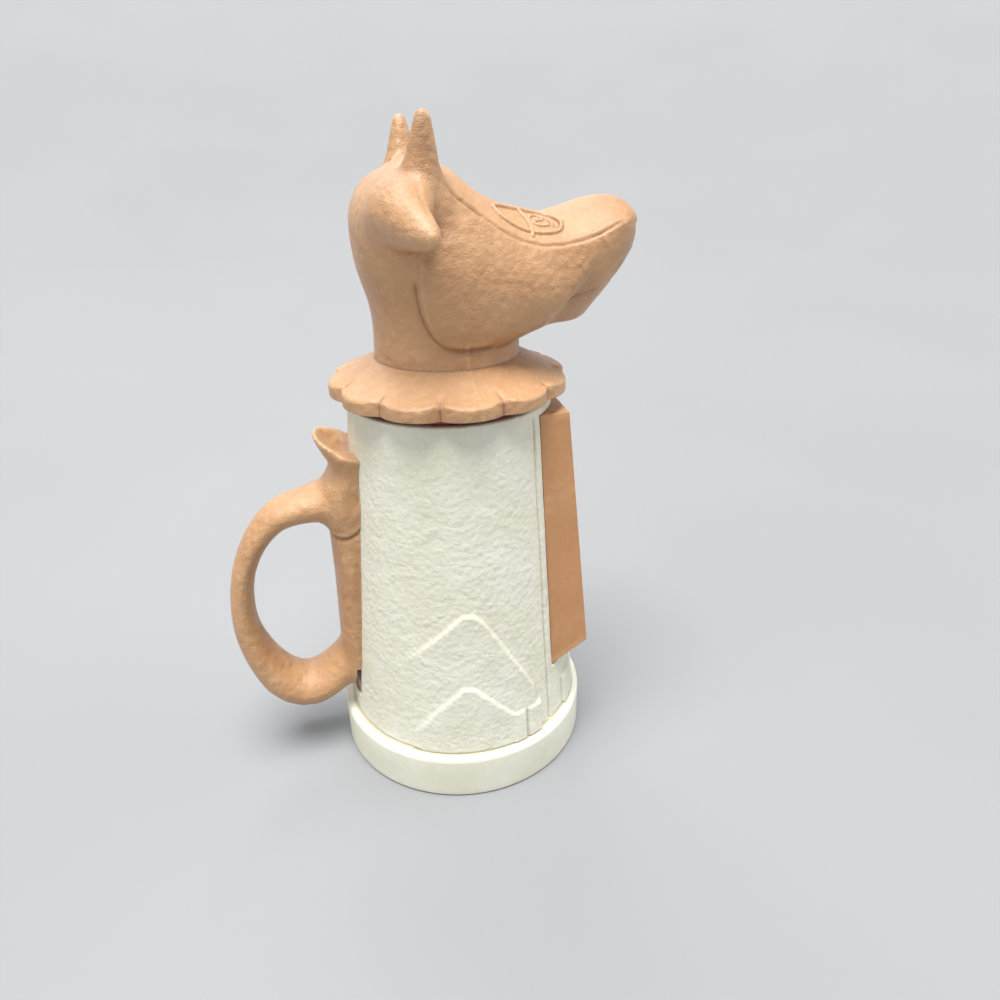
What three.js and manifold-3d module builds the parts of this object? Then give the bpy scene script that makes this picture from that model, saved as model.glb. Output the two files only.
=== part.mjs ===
// Cow creamer: a cream beaker with a brown handle, a brown panel at its front, a dark red
// seal ring on its rim and a hollow cow's head for a lid, which pours through its mouth.
// Millimetres, +Z up, +X towards the snout, origin at the centre of the underside.

import * as THREE from 'three';
import { mergeVertices } from 'three/addons/utils/BufferGeometryUtils.js';
import Module from 'manifold-3d';

const wasm = await Module();
wasm.setup();

// Fits and walls
const touchGap = 0.3;
const cupWall = 2.2;
const floorThickness = 3.2;
const lidWall = 2.3;
const ringWall = 1.8;
const panelWall = 2.0;

// Base ring and beaker
const baseRadius = 35;
const baseRingHeight = 13;
const baseEdgeRounding = 1.6;
const baseStep = 2.7;
const rimRadius = 25.5;
const rimHeight = 102.5;
const coneFootRadius = baseRadius - baseStep;

// Flat at the front of the beaker, which leans with the wall
const skirtHeight = 16;
const rimBand = 1.8;
const flatLowEdge = baseRingHeight + skirtHeight;
const flatHighEdge = rimHeight - rimBand;
const flatLowReach = coneFootRadius * 0.644;
const flatHighReach = rimRadius * 0.71;
const grooveWidth = 0.7;
const grooveDepth = 0.5;
const grooveSetback = 1.6;

// Low relief on the beaker's sides: two hills, a barn and a doorstep
const hillRise = 0.39;
const hillLean = 0.5;
const hillFoot = 12;
const bigHill = [[-21, 39], [-15.4, 44.3], [-6.6, 53], [-3.5, 54.6], [-0.4, 53.2], [3.3, 47.7],
  [13.6, 29.2], [14.4, 22.9], [15.9, 14.5]];
const smallHill = [[-20.5, 14.5], [-14.4, 24.1], [-7, 32], [-4.4, 33.4], [-1.4, 32], [7.2, 23]];
const barnRise = 1.2;
const barnSpan = [7.4, 16];
const barnHeight = 22.6;
const doorstepRise = 0.7;
const doorstepHalfWidth = 19;
const doorstepHeight = 22.5;

// Pocket in the wall below the handle, and the tongue that sits in it
const tongueWidth = 16;
const tongueLow = 18.5;
const tongueSink = 1;

// Front panel
const panelLow = flatLowEdge + touchGap;
const panelHigh = flatHighEdge - touchGap;
const panelTopDepth = 7.5;
const panelBottomDepth = 10.6;
const panelBevelRise = 6;
const panelTopHalfWidth = rimRadius * 0.69;
const panelBottomHalfWidth = coneFootRadius * 0.69;
const panelRounding = 1;
const panelBow = 0.6;

// Seal ring between rim and collar
const sealFlangeThickness = 1.5;
const sealRadius = 24.8;
const sealSkirtDepth = 6;
const sealLipRise = 1.4;

// Collar and neck of the lid
const scallopCount = 12;
const scallopRadius = 29.5;
const cuspRadius = 27.5;
const collarEdge = 2.7;
const collarRise = 8.4;
const collarRounding = 0.9;
const collarCoring = 24;
const neckRadius = 17.7;

// Head, from the top of the collar to the tips of the horns, and from the axis to the snout
const headHeight = 52.5;
const snoutReach = 46.8;
const mouthWidth = 17;
const mouthHeight = 8.2;

// Handle
const handleFoot = 14;
const handleHeight = 84;
const spineWidth = 20.4;
const loopWidth = 12.6;
const thumbRestWidth = 21.6;

// Rows of the spine and of the grip above it, as [height, reach out from the wall, width]:
// hundredths of handleHeight, and shares of spineWidth or thumbRestWidth
const spineRows = [[6, 1.2, 0.55], [9, 2.6, 0.75], [14, 3.8, 0.9], [26, 4.4, 0.95], [48, 5.4, 1],
  [64, 6.6, 1], [72, 7.4, 1]];
const gripRows = [[65.5, 4.5, 0.6], [67, 7, 0.84], [69.5, 8.6, 0.95], [75, 9.6, 0.98], [81, 8.6, 0.95],
  [85.5, 6.2, 0.9], [88.5, 6.4, 0.94], [91.5, 8.4, 1], [94.5, 10.2, 0.94], [97, 10.9, 0.8]];

// Middle line of the finger loop, as [reach out from the wall, height, thickness, width]:
// hundredths of handleHeight, and of loopWidth for the width
const loopRows = [[5, 75.2, 7.2, 130], [12.5, 74.6, 5.4, 112], [20.9, 72.7, 4.6, 104],
  [25, 69.6, 4.2, 100], [29.6, 63.4, 3.8, 98], [33.4, 53.2, 3.6, 96], [34.4, 39.6, 3.9, 96],
  [32.8, 29.8, 4.5, 100], [28.4, 19, 5.6, 110], [22.6, 10.9, 6.8, 120], [15.3, 7.4, 7, 126],
  [9, 9.5, 6.4, 128], [3.5, 14, 6, 124], [-0.5, 19, 6, 118]];

// Steps of the round forms
const turnSteps = 48;
const skullSteps = 28;
const loopSteps = 24;
const loopSides = 14;
const spineSides = 18;
const dishSides = 14;
const hornSides = 10;
const earSides = 12;
const scallopSteps = 6;

// Solid of a closed geometry
function solid(geometry) {
  const bare = new THREE.BufferGeometry();
  bare.setAttribute('position', geometry.getAttribute('position'));
  if (geometry.index) bare.setIndex(geometry.index);
  const merged = mergeVertices(bare, 1e-4);
  const corners = Array.from(merged.index.array);
  const kept = [];
  for (let i = 0; i < corners.length; i += 3) {
    const [a, b, c] = corners.slice(i, i + 3);
    if (a !== b && b !== c && c !== a) kept.push(a, b, c);
  }
  const vertices = new Float32Array(merged.getAttribute('position').array);
  const faces = signedVolume(vertices, kept) < 0 ? kept.reverse() : kept;
  return new wasm.Manifold(new wasm.Mesh({
    numProp: 3, vertProperties: vertices, triVerts: new Uint32Array(faces),
  }));
}

function signedVolume(vertices, faces) {
  const point = (i) => new THREE.Vector3().fromArray(vertices, faces[i] * 3);
  let sum = 0;
  for (let i = 0; i < faces.length; i += 3) {
    sum += point(i).dot(point(i + 1).cross(point(i + 2)));
  }
  return sum / 6;
}

function joined(...parts) {
  return parts.reduce((whole, part) => whole.add(part));
}

function namedMesh(name, body, material) {
  const mesh = body.getMesh();
  const geometry = new THREE.BufferGeometry();
  geometry.setAttribute('position', new THREE.BufferAttribute(new Float32Array(mesh.vertProperties), 3));
  geometry.setIndex(new THREE.BufferAttribute(new Uint32Array(mesh.triVerts), 1));
  const result = new THREE.Mesh(geometry, material);
  result.name = name;
  return result;
}

// Solid of rings of points, each ring joined to the next and the two ends closed
function loft(rings) {
  const positions = [];
  const index = [];
  const size = rings[0].length;
  for (const ring of rings) {
    for (const p of ring) positions.push(p.x, p.y, p.z);
  }
  for (let r = 0; r + 1 < rings.length; r++) {
    for (let i = 0; i < size; i++) {
      const a = r * size + i;
      const b = r * size + (i + 1) % size;
      index.push(a, b, b + size, a, b + size, a + size);
    }
  }
  for (const [r, flip] of [[0, true], [rings.length - 1, false]]) {
    const middle = rings[r].reduce((sum, p) => sum.clone().add(p)).divideScalar(size);
    const centre = positions.length / 3;
    positions.push(middle.x, middle.y, middle.z);
    for (let i = 0; i < size; i++) {
      const a = r * size + i;
      const b = r * size + (i + 1) % size;
      index.push(centre, flip ? b : a, flip ? a : b);
    }
  }
  const geometry = new THREE.BufferGeometry();
  geometry.setAttribute('position', new THREE.Float32BufferAttribute(positions, 3));
  geometry.setIndex(index);
  return solid(geometry);
}

// Solid of a profile [radius, height] turned about the vertical axis
function turned(profile, steps = turnSteps) {
  const points = profile.map(([radius, height]) => new THREE.Vector2(radius, height));
  const geometry = new THREE.LatheGeometry([...points, points[0].clone()], steps);
  return solid(geometry.rotateX(Math.PI / 2));
}

// Solid of an outline [x, z] that runs across the part from y = from to y = to
function across(outline, from, to) {
  const shape = new THREE.Shape(outline.map(([x, z]) => new THREE.Vector2(x, z)));
  const geometry = new THREE.ExtrudeGeometry(shape, { depth: to - from, bevelEnabled: false });
  return solid(geometry.rotateX(Math.PI / 2).translate(0, to, 0));
}

// Value of a smooth line through points [place, value], level beyond its ends
function follow(line, place) {
  const last = line.length - 1;
  if (place <= line[0][0]) return line[0][1];
  if (place >= line[last][0]) return line[last][1];
  let i = 0;
  while (line[i + 1][0] < place) i++;
  const slope = (k) => {
    const before = line[Math.max(k - 1, 0)];
    const after = line[Math.min(k + 1, last)];
    return (after[1] - before[1]) / (after[0] - before[0]);
  };
  const span = line[i + 1][0] - line[i][0];
  const t = (place - line[i][0]) / span;
  const near = (1 + 2 * t) * (1 - t) ** 2 * line[i][1] + t * (1 - t) ** 2 * span * slope(i);
  const far = t * t * (3 - 2 * t) * line[i + 1][1] - t * t * (1 - t) * span * slope(i + 1);
  return near + far;
}

function evenSteps(from, to, count) {
  return Array.from({ length: count + 1 }, (_, i) => from + (to - from) * i / count);
}

// Beaker wall: radius at a height, and reach of the flat at a height
function coneRadius(height) {
  const share = (height - baseRingHeight) / (rimHeight - baseRingHeight);
  return coneFootRadius + (rimRadius - coneFootRadius) * share;
}

function flatReach(height) {
  const share = (height - flatLowEdge) / (flatHighEdge - flatLowEdge);
  return flatLowReach + (flatHighReach - flatLowReach) * share;
}

// Everything in front of the flat, set back by a distance and between two heights
function aheadOfFlat(setback, low, high) {
  const far = baseRadius * 2;
  return across([
    [flatReach(low) - setback, low], [far, low], [far, high], [flatReach(high) - setback, high],
  ], -far, far);
}

// Wall of the beaker as a solid cone, grown by a distance
function coneSolid(grow, low = baseRingHeight - 2, high = rimHeight) {
  return turned([
    [0, low], [coneRadius(low) + grow, low], [coneRadius(high) + grow, high], [0, high],
  ]);
}

// Raised area on both sides of the beaker inside an outline [x, z]
function relief(outline, rise, lean) {
  const skin = coneSolid(rise, hillFoot, rimHeight - collarEdge).translate([lean, 0, 0]);
  return skin.intersect(across(outline, -baseRadius, baseRadius));
}

function makeCup() {
  const round = baseEdgeRounding;
  const outside = turned([
    [0, 0], [baseRadius - round / 2, 0], [baseRadius, round / 2],
    [baseRadius, baseRingHeight - round], [baseRadius - round * 0.3, baseRingHeight - round * 0.3],
    [baseRadius - round, baseRingHeight], [coneRadius(baseRingHeight), baseRingHeight],
    [rimRadius, rimHeight], [0, rimHeight],
  ]);
  const bigOutline = [[bigHill[0][0], hillFoot], ...bigHill, [bigHill.at(-1)[0], hillFoot]];
  const smallOutline = [[smallHill[0][0], hillFoot], ...smallHill, [smallHill.at(-1)[0], hillFoot]];
  const [barnBack, barnFront] = barnSpan;
  const barn = relief([
    [barnBack, hillFoot], [barnFront, hillFoot], [barnFront, barnHeight], [barnBack, barnHeight],
  ], barnRise, 0);
  const doorstep = coneSolid(doorstepRise, hillFoot, doorstepHeight).intersect(
    across([[0, hillFoot], [baseRadius * 2, hillFoot], [baseRadius * 2, doorstepHeight],
      [0, doorstepHeight]], -doorstepHalfWidth, doorstepHalfWidth));
  const hills = joined(
    relief(bigOutline, hillRise, hillLean),
    relief(smallOutline, hillRise * 2, hillLean),
    barn,
  );
  const groove = across([
    [flatReach(hillFoot) - grooveSetback - grooveWidth, hillFoot],
    [flatReach(hillFoot) - grooveSetback, hillFoot],
    [flatReach(flatHighEdge) - grooveSetback, flatHighEdge],
    [flatReach(flatHighEdge) - grooveSetback - grooveWidth, flatHighEdge],
  ], -baseRadius, baseRadius).subtract(coneSolid(-grooveDepth));
  const grooveAboveBase = groove.subtract(turned([
    [0, 0], [baseRadius * 2, 0], [baseRadius * 2, baseRingHeight], [0, baseRingHeight],
  ]));
  const inside = turned([
    [0, floorThickness], [coneRadius(floorThickness) - cupWall * 2, floorThickness],
    [coneRadius(floorThickness) - cupWall, floorThickness + cupWall],
    [rimRadius - cupWall, rimHeight + 1], [0, rimHeight + 1],
  ]).subtract(aheadOfFlat(cupWall, flatLowEdge - cupWall, rimHeight + 2));
  const pocket = makeTongue(touchGap);
  return joined(outside, hills, doorstep)
    .subtract(aheadOfFlat(0, flatLowEdge, flatHighEdge))
    .subtract(grooveAboveBase)
    .subtract(inside)
    .subtract(pocket);
}

// Tongue below the handle, sunk in the wall of the beaker and grown by a fit
function makeTongue(fit) {
  const high = handleFoot + handleHeight * 0.25;
  const halfWidth = tongueWidth / 2 + fit;
  const block = across([
    [-baseRadius * 2, tongueLow - fit], [0, tongueLow - fit], [0, high + fit],
    [-baseRadius * 2, high + fit],
  ], -halfWidth, halfWidth);
  const skin = coneSolid(fit > 0 ? baseRadius : touchGap * 2);
  return block.intersect(skin).subtract(coneSolid(-tongueSink - fit));
}

function makePanel() {
  const back = (height, inset) => flatReach(height) + touchGap + inset;
  const depth = (height) => {
    const share = (height - panelLow) / (panelHigh - panelLow);
    return panelBottomDepth + (panelTopDepth - panelBottomDepth) * share;
  };
  const halfWidth = (height) => {
    const share = (height - panelLow) / (panelHigh - panelLow);
    return panelBottomHalfWidth + (panelTopHalfWidth - panelBottomHalfWidth) * share;
  };
  // Upright rings of the panel at a share of its depth, all edges drawn in by an inset
  const ring = (share, inset, edge) => {
    const low = panelLow + panelBevelRise * share + edge;
    const high = panelHigh - edge;
    const at = (side, height) => {
      const bow = panelBow * share * (1 - side * side);
      const x = back(height, 0) + (depth(height) - inset) * share + bow;
      return new THREE.Vector3(x, side * (halfWidth(height) - edge), height);
    };
    const sides = evenSteps(-1, 1, 8);
    const heights = evenSteps(0, 1, 6).slice(1, -1).map((t) => low + (high - low) * t);
    return [
      ...sides.map((side) => at(side, low)),
      ...heights.map((height) => at(1, height)),
      ...sides.toReversed().map((side) => at(side, high)),
      ...heights.toReversed().map((height) => at(-1, height)),
    ];
  };
  const rounded = 1 - panelRounding / panelBottomDepth;
  const outside = loft([
    ring(0, 0, 0), ring(rounded, 0, 0), ring(1, panelRounding * 0.3, panelRounding * 0.3),
    ring(1, 0, panelRounding),
  ]);
  const hollow = loft([ring(-0.2, 0, panelWall), ring(1, panelWall, panelWall)]);
  return outside.subtract(hollow);
}

function makeSealRing() {
  const flangeLow = rimHeight + touchGap;
  const flangeHigh = flangeLow + sealFlangeThickness;
  const skirtRadius = rimRadius - cupWall - touchGap * 2;
  const bore = skirtRadius - ringWall;
  const flangeAndLip = turned([
    [bore, flangeLow], [sealRadius, flangeLow], [sealRadius, flangeHigh],
    [bore + ringWall, flangeHigh], [bore + ringWall, flangeHigh + sealLipRise],
    [bore, flangeHigh + sealLipRise],
  ]);
  const skirtLow = rimHeight - sealSkirtDepth;
  const high = flangeLow + touchGap;
  const skirt = turned([
    [0, skirtLow], [skirtRadius, skirtLow], [skirtRadius, high], [0, high],
  ]).subtract(aheadOfFlat(cupWall + touchGap, skirtLow - 1, high + 1));
  const shelf = turned([
    [0, flangeLow], [sealRadius, flangeLow], [sealRadius, flangeHigh], [0, flangeHigh],
  ]);
  const opening = turned([
    [0, skirtLow - 1], [bore, skirtLow - 1], [bore, flangeHigh + 4], [0, flangeHigh + 4],
  ]).subtract(aheadOfFlat(cupWall + touchGap + ringWall, skirtLow - 2, flangeHigh + 5));
  const acrossFlat = aheadOfFlat(cupWall + touchGap + ringWall, skirtLow, flangeHigh + 1);
  return joined(flangeAndLip, skirt, shelf.intersect(acrossFlat)).subtract(opening);
}

const sealTop = rimHeight + touchGap + sealFlangeThickness;
const collarLow = sealTop + touchGap;
const neckLow = collarLow + collarRise;
const collarSlope = (collarRise - collarEdge - collarRounding) / (cuspRadius - neckRadius);

// Scalloped edge of the collar at an angle: lobes in front, behind and at both sides
function scallopEdge(angle) {
  const lobe = Math.PI * 2 / scallopCount;
  const fromLobe = Math.abs(angle / lobe - Math.round(angle / lobe)) * 2;
  return cuspRadius + (scallopRadius - cuspRadius) * (1 - fromLobe ** 2.4);
}

function makeCollar() {
  const steps = scallopCount * scallopSteps;
  const ring = (height, radius) => evenSteps(0, Math.PI * 2, steps).slice(0, -1).map((angle) => {
    const r = radius(scallopEdge(angle));
    return new THREE.Vector3(r * Math.cos(angle), r * Math.sin(angle), height(r));
  });
  const top = (r) => neckLow - (r - neckRadius) * collarSlope;
  return loft([
    ring(() => collarLow, (edge) => edge - collarRounding),
    ring(() => collarLow + collarRounding * 0.6, (edge) => edge),
    ring((r) => top(r) - collarRounding, (edge) => edge),
    ring((r) => top(r), (edge) => edge - collarRounding),
    ring((r) => top(r) + collarRounding * 0.4, () => neckRadius + collarRounding),
    ring(() => neckLow + collarRounding * 1.6, () => neckRadius - collarRounding),
  ]);
}

// The head's lines, as [place, value] in hundredths: heights of headHeight above the neck,
// places along the head and half widths of neckRadius or snoutReach
const skullBack = [[0, 100], [8, 100], [19, 100], [28.5, 105], [37, 113], [46, 117], [56, 118.6],
  [66, 115], [73, 99], [78, 80], [81.5, 62], [84, 40]];
const skullFront = [[0, 100], [8, 100], [30, 80], [50, 50], [70, 22], [78, 4], [84, -22]];
const skullWidth = [[0, 100], [19, 99], [37, 101], [56, 106], [68, 107], [75, 98], [80, 80], [84, 44]];

const crownLine = [[-19, 66], [-9, 77], [-1, 80.6], [4.9, 78.2], [9.6, 75], [13.2, 71.8], [20.7, 67.6],
  [27.6, 65], [35, 63.2], [43, 61], [53.6, 60], [61.5, 62.3], [75, 65.9], [83, 66.6], [90.5, 65.6],
  [97, 61.8], [100, 55]];
const creaseLine = [[-19, 60], [-8, 74], [3, 69.5], [7, 66], [16, 60], [24.4, 54], [33.8, 50],
  [43.4, 48.6], [55.5, 48.8], [68, 51.3], [78, 55.4], [87, 57], [96, 56], [100, 52]];
const creaseWidth = [[-19, 70], [1, 82], [15, 88], [34, 91], [55, 90], [68, 86], [77, 81], [90, 74],
  [100, 60]];
const cheekWidth = [[-19, 96], [-17, 111], [-10, 117], [10, 119], [32, 113], [53, 102], [70, 93],
  [78, 87], [100, 80]];
const chinWidth = [[-19, 90], [-10, 100], [20, 94], [38, 72], [56, 60], [77, 56], [100, 50]];
const jawLine = [[-19, 31], [-18, 23], [-14.5, 16.5], [-10, 11.5], [-3.5, 8.9], [8, 8.6], [30, 9.8],
  [42, 12.6], [56, 14], [68, 14.4], [100, 16]];

// Front of the muzzle, as [height, reach]: round seen from above, slanting down to the chin
const frontLine = [[8, 68], [12, 72], [21, 79.5], [30, 87.5], [38.5, 94.4], [46, 98.6], [50, 100],
  [72, 100]];
const muzzleHalfWidth = [[8, 60], [14, 64], [26, 79], [38, 85], [72, 85]];
const muzzleRoundDepth = 28;

// Places of the jaw's cross sections, from its rear to its front, closest where it bends most
const jawPlaces = [0, 0.007, 0.03, 0.07, 0.12, 0.165, 0.2, 0.235, 0.275, 0.33, 0.41, 0.5, 0.59, 0.68,
  0.77, 0.85, 0.91, 0.95, 1];

// Rows of the skull, lying rings that swell upwards from the neck, all drawn in by an inset
function skullRows(inset) {
  const low = inset > 0 ? -6 : -2;
  const top = 84 - inset / headHeight * 100;
  return evenSteps(low, top, inset > 0 ? 8 : 12).map((share) => {
    const back = -follow(skullBack, share) / 100 * neckRadius + inset;
    const front = follow(skullFront, share) / 100 * neckRadius - inset;
    const side = follow(skullWidth, share) / 100 * neckRadius - inset;
    const z = neckLow + share / 100 * headHeight;
    return evenSteps(0, Math.PI * 2, skullSteps).slice(0, -1).map((angle) => {
      const full = 1 + 0.07 * Math.sin(2 * angle) ** 2 * Math.min(Math.max(share - 15, 0) / 30, 1);
      const x = (front + back) / 2 + (front - back) / 2 * full * Math.cos(angle);
      return new THREE.Vector3(x, side * full * Math.sin(angle), z);
    });
  });
}

// One upright cross section of the jaw: arched face, cheeks, chin
function jawSection(share, inset) {
  const height = (line) => neckLow + follow(line, share) / 100 * headHeight;
  const width = (line) => follow(line, share) / 100 * neckRadius;
  const crown = height(crownLine) - inset;
  const crease = height(creaseLine) - inset * 0.5;
  const jaw = height(jawLine) + inset;
  const creaseHalf = Math.max(width(creaseWidth) - inset, 0.3);
  const cheekHalf = Math.max(width(cheekWidth) - inset, 0.4);
  const chinHalf = Math.max(width(chinWidth) - inset, 0.2);
  const half = [];
  const [archSteps, cheekSteps] = inset > 0 ? [3, 5] : [5, 7];
  for (const t of evenSteps(0, 1, archSteps)) {
    half.push([creaseHalf * t, crease + (crown - crease) * (1 - t * t)]);
  }
  for (const t of evenSteps(0, 1, cheekSteps).slice(1)) {
    const swell = t < 0.45
      ? creaseHalf + (cheekHalf - creaseHalf) * Math.sin(Math.PI / 2 * t / 0.45)
      : chinHalf + (cheekHalf - chinHalf) * Math.cos(Math.PI / 2 * (t - 0.45) / 0.55) ** 0.6;
    half.push([swell, crease + (jaw - crease) * (1 - (1 - t) ** 1.15)]);
  }
  half.push([chinHalf * 0.55, jaw], [0, jaw]);
  const x = share / 100 * snoutReach;
  const near = half.map(([y, z]) => new THREE.Vector3(x, -y, z));
  const far = half.slice(1, -1).toReversed().map(([y, z]) => new THREE.Vector3(x, y, z));
  return [...near, ...far];
}

function makeJaw(inset) {
  const back = -19 + inset / snoutReach * 100;
  const places = jawPlaces.filter((_, i) => inset === 0 || i % 2 === 0);
  const body = loft(places.map((t) => jawSection(back + (100 - back) * t, inset)));
  const deep = muzzleRoundDepth / 100 * snoutReach;
  const trim = loft([5, 12, 16.5, 21, 25.5, 30, 38.5, 46, 50, 92].map((share) => {
    const half = follow(muzzleHalfWidth, share) / 100 * neckRadius - inset;
    const reach = follow(frontLine, share) / 100 * snoutReach - inset;
    const z = neckLow + share / 100 * headHeight;
    const arc = evenSteps(-Math.PI / 2, Math.PI / 2, inset > 0 ? 8 : 12).map((angle) => (
      new THREE.Vector3(reach + deep * (Math.cos(angle) - 1), half * Math.sin(angle), z)));
    const rear = [[reach - deep * 1.35, 1.5], [-snoutReach, 1.5]];
    const far = rear.map(([x, wide]) => new THREE.Vector3(x, wide * neckRadius, z));
    const near = rear.toReversed().map(([x, wide]) => new THREE.Vector3(x, -wide * neckRadius, z));
    return [...arc, ...far, ...near];
  }));
  return body.intersect(trim);
}

// Horns and ears, as rows in hundredths of the same lengths: a horn's [height, radius, place
// along, place across] and an ear's [place across, place along, height, half length, half height]
const hornRows = [[68, 6.4, -16, 74], [78, 4.5, -14.2, 79], [84, 3.4, -13.2, 83], [90, 2.6, -12.8, 87],
  [96, 1.9, -12.5, 90.5], [98.6, 1.4, -12.5, 91.8], [100, 0.7, -12.5, 92.4]];
const earRows = [[56, -23, 63.5, 14, 14.5], [84, -24, 63.5, 14.5, 14.5], [106, -24, 63, 14, 13.2],
  [124, -23.2, 62, 12.4, 11.6], [143, -21.6, 60.7, 10.2, 9.4], [163, -19.3, 58.9, 7.6, 7.2],
  [178, -17.6, 57.6, 5.2, 4.8], [187, -16.8, 57, 2.2, 2]];

// Horn on one side: a cone with a round tip, leaning a little outwards
function makeHorn(side) {
  return loft(hornRows.map(([rise, radius, along, out]) => (
    evenSteps(0, Math.PI * 2, hornSides).slice(0, -1).map((angle) => {
      const girth = radius / 50 * headHeight;
      return new THREE.Vector3(
        along / 100 * snoutReach + girth * Math.cos(angle),
        side * out / 100 * neckRadius + girth * 0.9 * Math.sin(angle),
        neckLow + rise / 100 * headHeight,
      );
    }))));
}

// Ear on one side: a cupped cone that points sideways from the skull
function makeEar(side) {
  return loft(earRows.map(([out, along, rise, long, tall]) => (
    evenSteps(0, Math.PI * 2, earSides).slice(0, -1).map((angle) => new THREE.Vector3(
      (along + long * Math.cos(angle)) / 100 * snoutReach,
      side * out / 100 * neckRadius,
      neckLow + (rise + tall * Math.sin(angle)) / 100 * headHeight,
    )))));
}

// Pour opening through the slanting front of the mouth
function makeMouth() {
  const high = mouthHeight / 2;
  const wide = mouthWidth / 2 - high;
  const slant = 0.57;
  const ends = [-lidWall * 4, lidWall * 3];
  const centre = new THREE.Vector3(snoutReach * 0.93, 0, neckLow + headHeight * 0.345);
  return loft(ends.map((reach) => evenSteps(0, Math.PI * 2, 20).slice(0, -1).map((angle) => {
    const y = wide * Math.sign(Math.round(Math.cos(angle) * 1e6)) + high * Math.cos(angle);
    const rise = high * Math.sin(angle);
    return new THREE.Vector3(
      centre.x + reach * Math.cos(slant) + rise * Math.sin(slant),
      y,
      centre.z - reach * Math.sin(slant) + rise * Math.cos(slant),
    );
  })));
}

function makeHeadLid() {
  const outside = joined(
    makeCollar(), loft(skullRows(0)), makeJaw(0),
    makeHorn(-1), makeHorn(1), makeEar(-1), makeEar(1),
  );
  const bore = neckRadius - lidWall;
  const coringTop = neckLow - (bore - neckRadius) * collarSlope - lidWall * 1.12;
  const coring = turned([
    [0, collarLow - 1], [collarCoring, collarLow - 1], [collarCoring, collarLow + collarEdge * 0.9],
    [bore, coringTop], [bore * 0.7, coringTop + bore * 0.15], [0, coringTop + bore * 0.15],
  ]);
  return outside
    .subtract(joined(coring, loft(skullRows(lidWall)), makeJaw(lidWall)))
    .subtract(makeMouth());
}

// Handle: shares of its own height, out from the wall of the beaker
function makeHandle() {
  const wall = (share) => -coneRadius(handleFoot + share / 100 * handleHeight);
  const unit = handleHeight / 100;
  const height = (share) => handleFoot + share * unit;

  // Lying oval row: share of height, out from the wall to the row's back, half width
  const lyingRow = (share, out, halfWidth) => {
    const back = wall(share) - out * unit;
    const front = wall(share) + cupWall * 3;
    return evenSteps(0, Math.PI * 2, spineSides).slice(0, -1).map((angle) => {
      const round = Math.sign(Math.cos(angle)) * Math.abs(Math.cos(angle)) ** 0.75;
      const x = (front + back) / 2 + (front - back) / 2 * round;
      return new THREE.Vector3(x, halfWidth * Math.sin(angle), height(share));
    });
  };
  const restHalf = thumbRestWidth / 2;
  const spine = loft(spineRows.map(([share, out, wide]) => lyingRow(share, out, spineWidth / 2 * wide)));
  const grip = loft(gripRows.map(([share, out, wide]) => lyingRow(share, out, restHalf * wide)));

  // Spoon of the thumb rest: its top slopes up and out, with a shallow dish
  const slopeLow = height(89);
  const slopeHigh = height(96.2);
  const tip = wall(96) - 9.8 * unit;
  const restEnd = wall(90);
  const above = across([
    [tip - restHalf, slopeHigh + restHalf * 0.4], [tip, slopeHigh], [restEnd + restHalf * 0.4, slopeLow],
    [0, slopeLow], [0, slopeHigh + handleHeight], [tip - restHalf, slopeHigh + handleHeight],
  ], -thumbRestWidth, thumbRestWidth);
  const dish = loft(evenSteps(-1, 1, 8).map((t) => {
    const girth = Math.sqrt(Math.max(1 - t * t, 0.004));
    const x = (tip + restEnd) / 2 + t * (restEnd - tip) * 0.62;
    const z = (slopeLow + slopeHigh) / 2 - t * (slopeHigh - slopeLow) * 0.62 + restHalf * 0.29;
    return evenSteps(0, Math.PI * 2, dishSides).slice(0, -1).map((angle) => new THREE.Vector3(
      x, restHalf * 0.72 * girth * Math.cos(angle), z + restHalf * 0.42 * girth * Math.sin(angle)));
  }));

  // Finger loop
  const route = new THREE.CatmullRomCurve3(loopRows.map(([out, share]) => (
    new THREE.Vector3(wall(share) - out * unit, 0, height(share)))));
  const alongLoop = (column) => loopRows.map((row, i) => [i / (loopRows.length - 1), row[column]]);
  const loop = loft(evenSteps(0, 1, loopSteps).map((t) => {
    const place = route.getPoint(t);
    const tangent = route.getTangent(t);
    const outwards = new THREE.Vector3(-tangent.z, 0, tangent.x);
    const thick = follow(alongLoop(2), t) * unit;
    const wide = follow(alongLoop(3), t) / 200 * loopWidth;
    return evenSteps(0, Math.PI * 2, loopSides).slice(0, -1).map((angle) => place.clone()
      .addScaledVector(outwards, thick * Math.sin(angle))
      .add(new THREE.Vector3(0, wide * Math.cos(angle), 0)));
  }));
  return joined(spine, grip.subtract(above).subtract(dish), loop, makeTongue(0))
    .subtract(coneSolid(touchGap, 0, rimHeight + 20).subtract(makeTongue(0)));
}

// Finishes
function plastic(color, roughness) {
  return new THREE.MeshStandardMaterial({ color, roughness, metalness: 0 });
}

const cream = plastic(0xd9d8c6, 0.5);
const brown = plastic(0xc08a5c, 0.5);
const panelBrown = plastic(0xb98353, 0.42);
const darkRed = plastic(0x7d1a22, 0.45);

const creamer = new THREE.Group();
creamer.add(
  namedMesh('cup', makeCup(), cream),
  namedMesh('handle', makeHandle(), brown),
  namedMesh('front_panel', makePanel(), panelBrown),
  namedMesh('seal_ring', makeSealRing(), darkRed),
  namedMesh('head_lid', makeHeadLid(), brown),
);

export default creamer;
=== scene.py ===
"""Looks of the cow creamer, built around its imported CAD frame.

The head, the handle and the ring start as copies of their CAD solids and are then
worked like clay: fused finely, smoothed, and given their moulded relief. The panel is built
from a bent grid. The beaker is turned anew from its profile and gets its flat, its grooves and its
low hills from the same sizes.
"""

from __future__ import annotations

import logging
import math
from dataclasses import dataclass, field, replace
from enum import Enum
from typing import Callable, Sequence

import bpy
import numpy as np
from mathutils import Matrix, Vector


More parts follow.
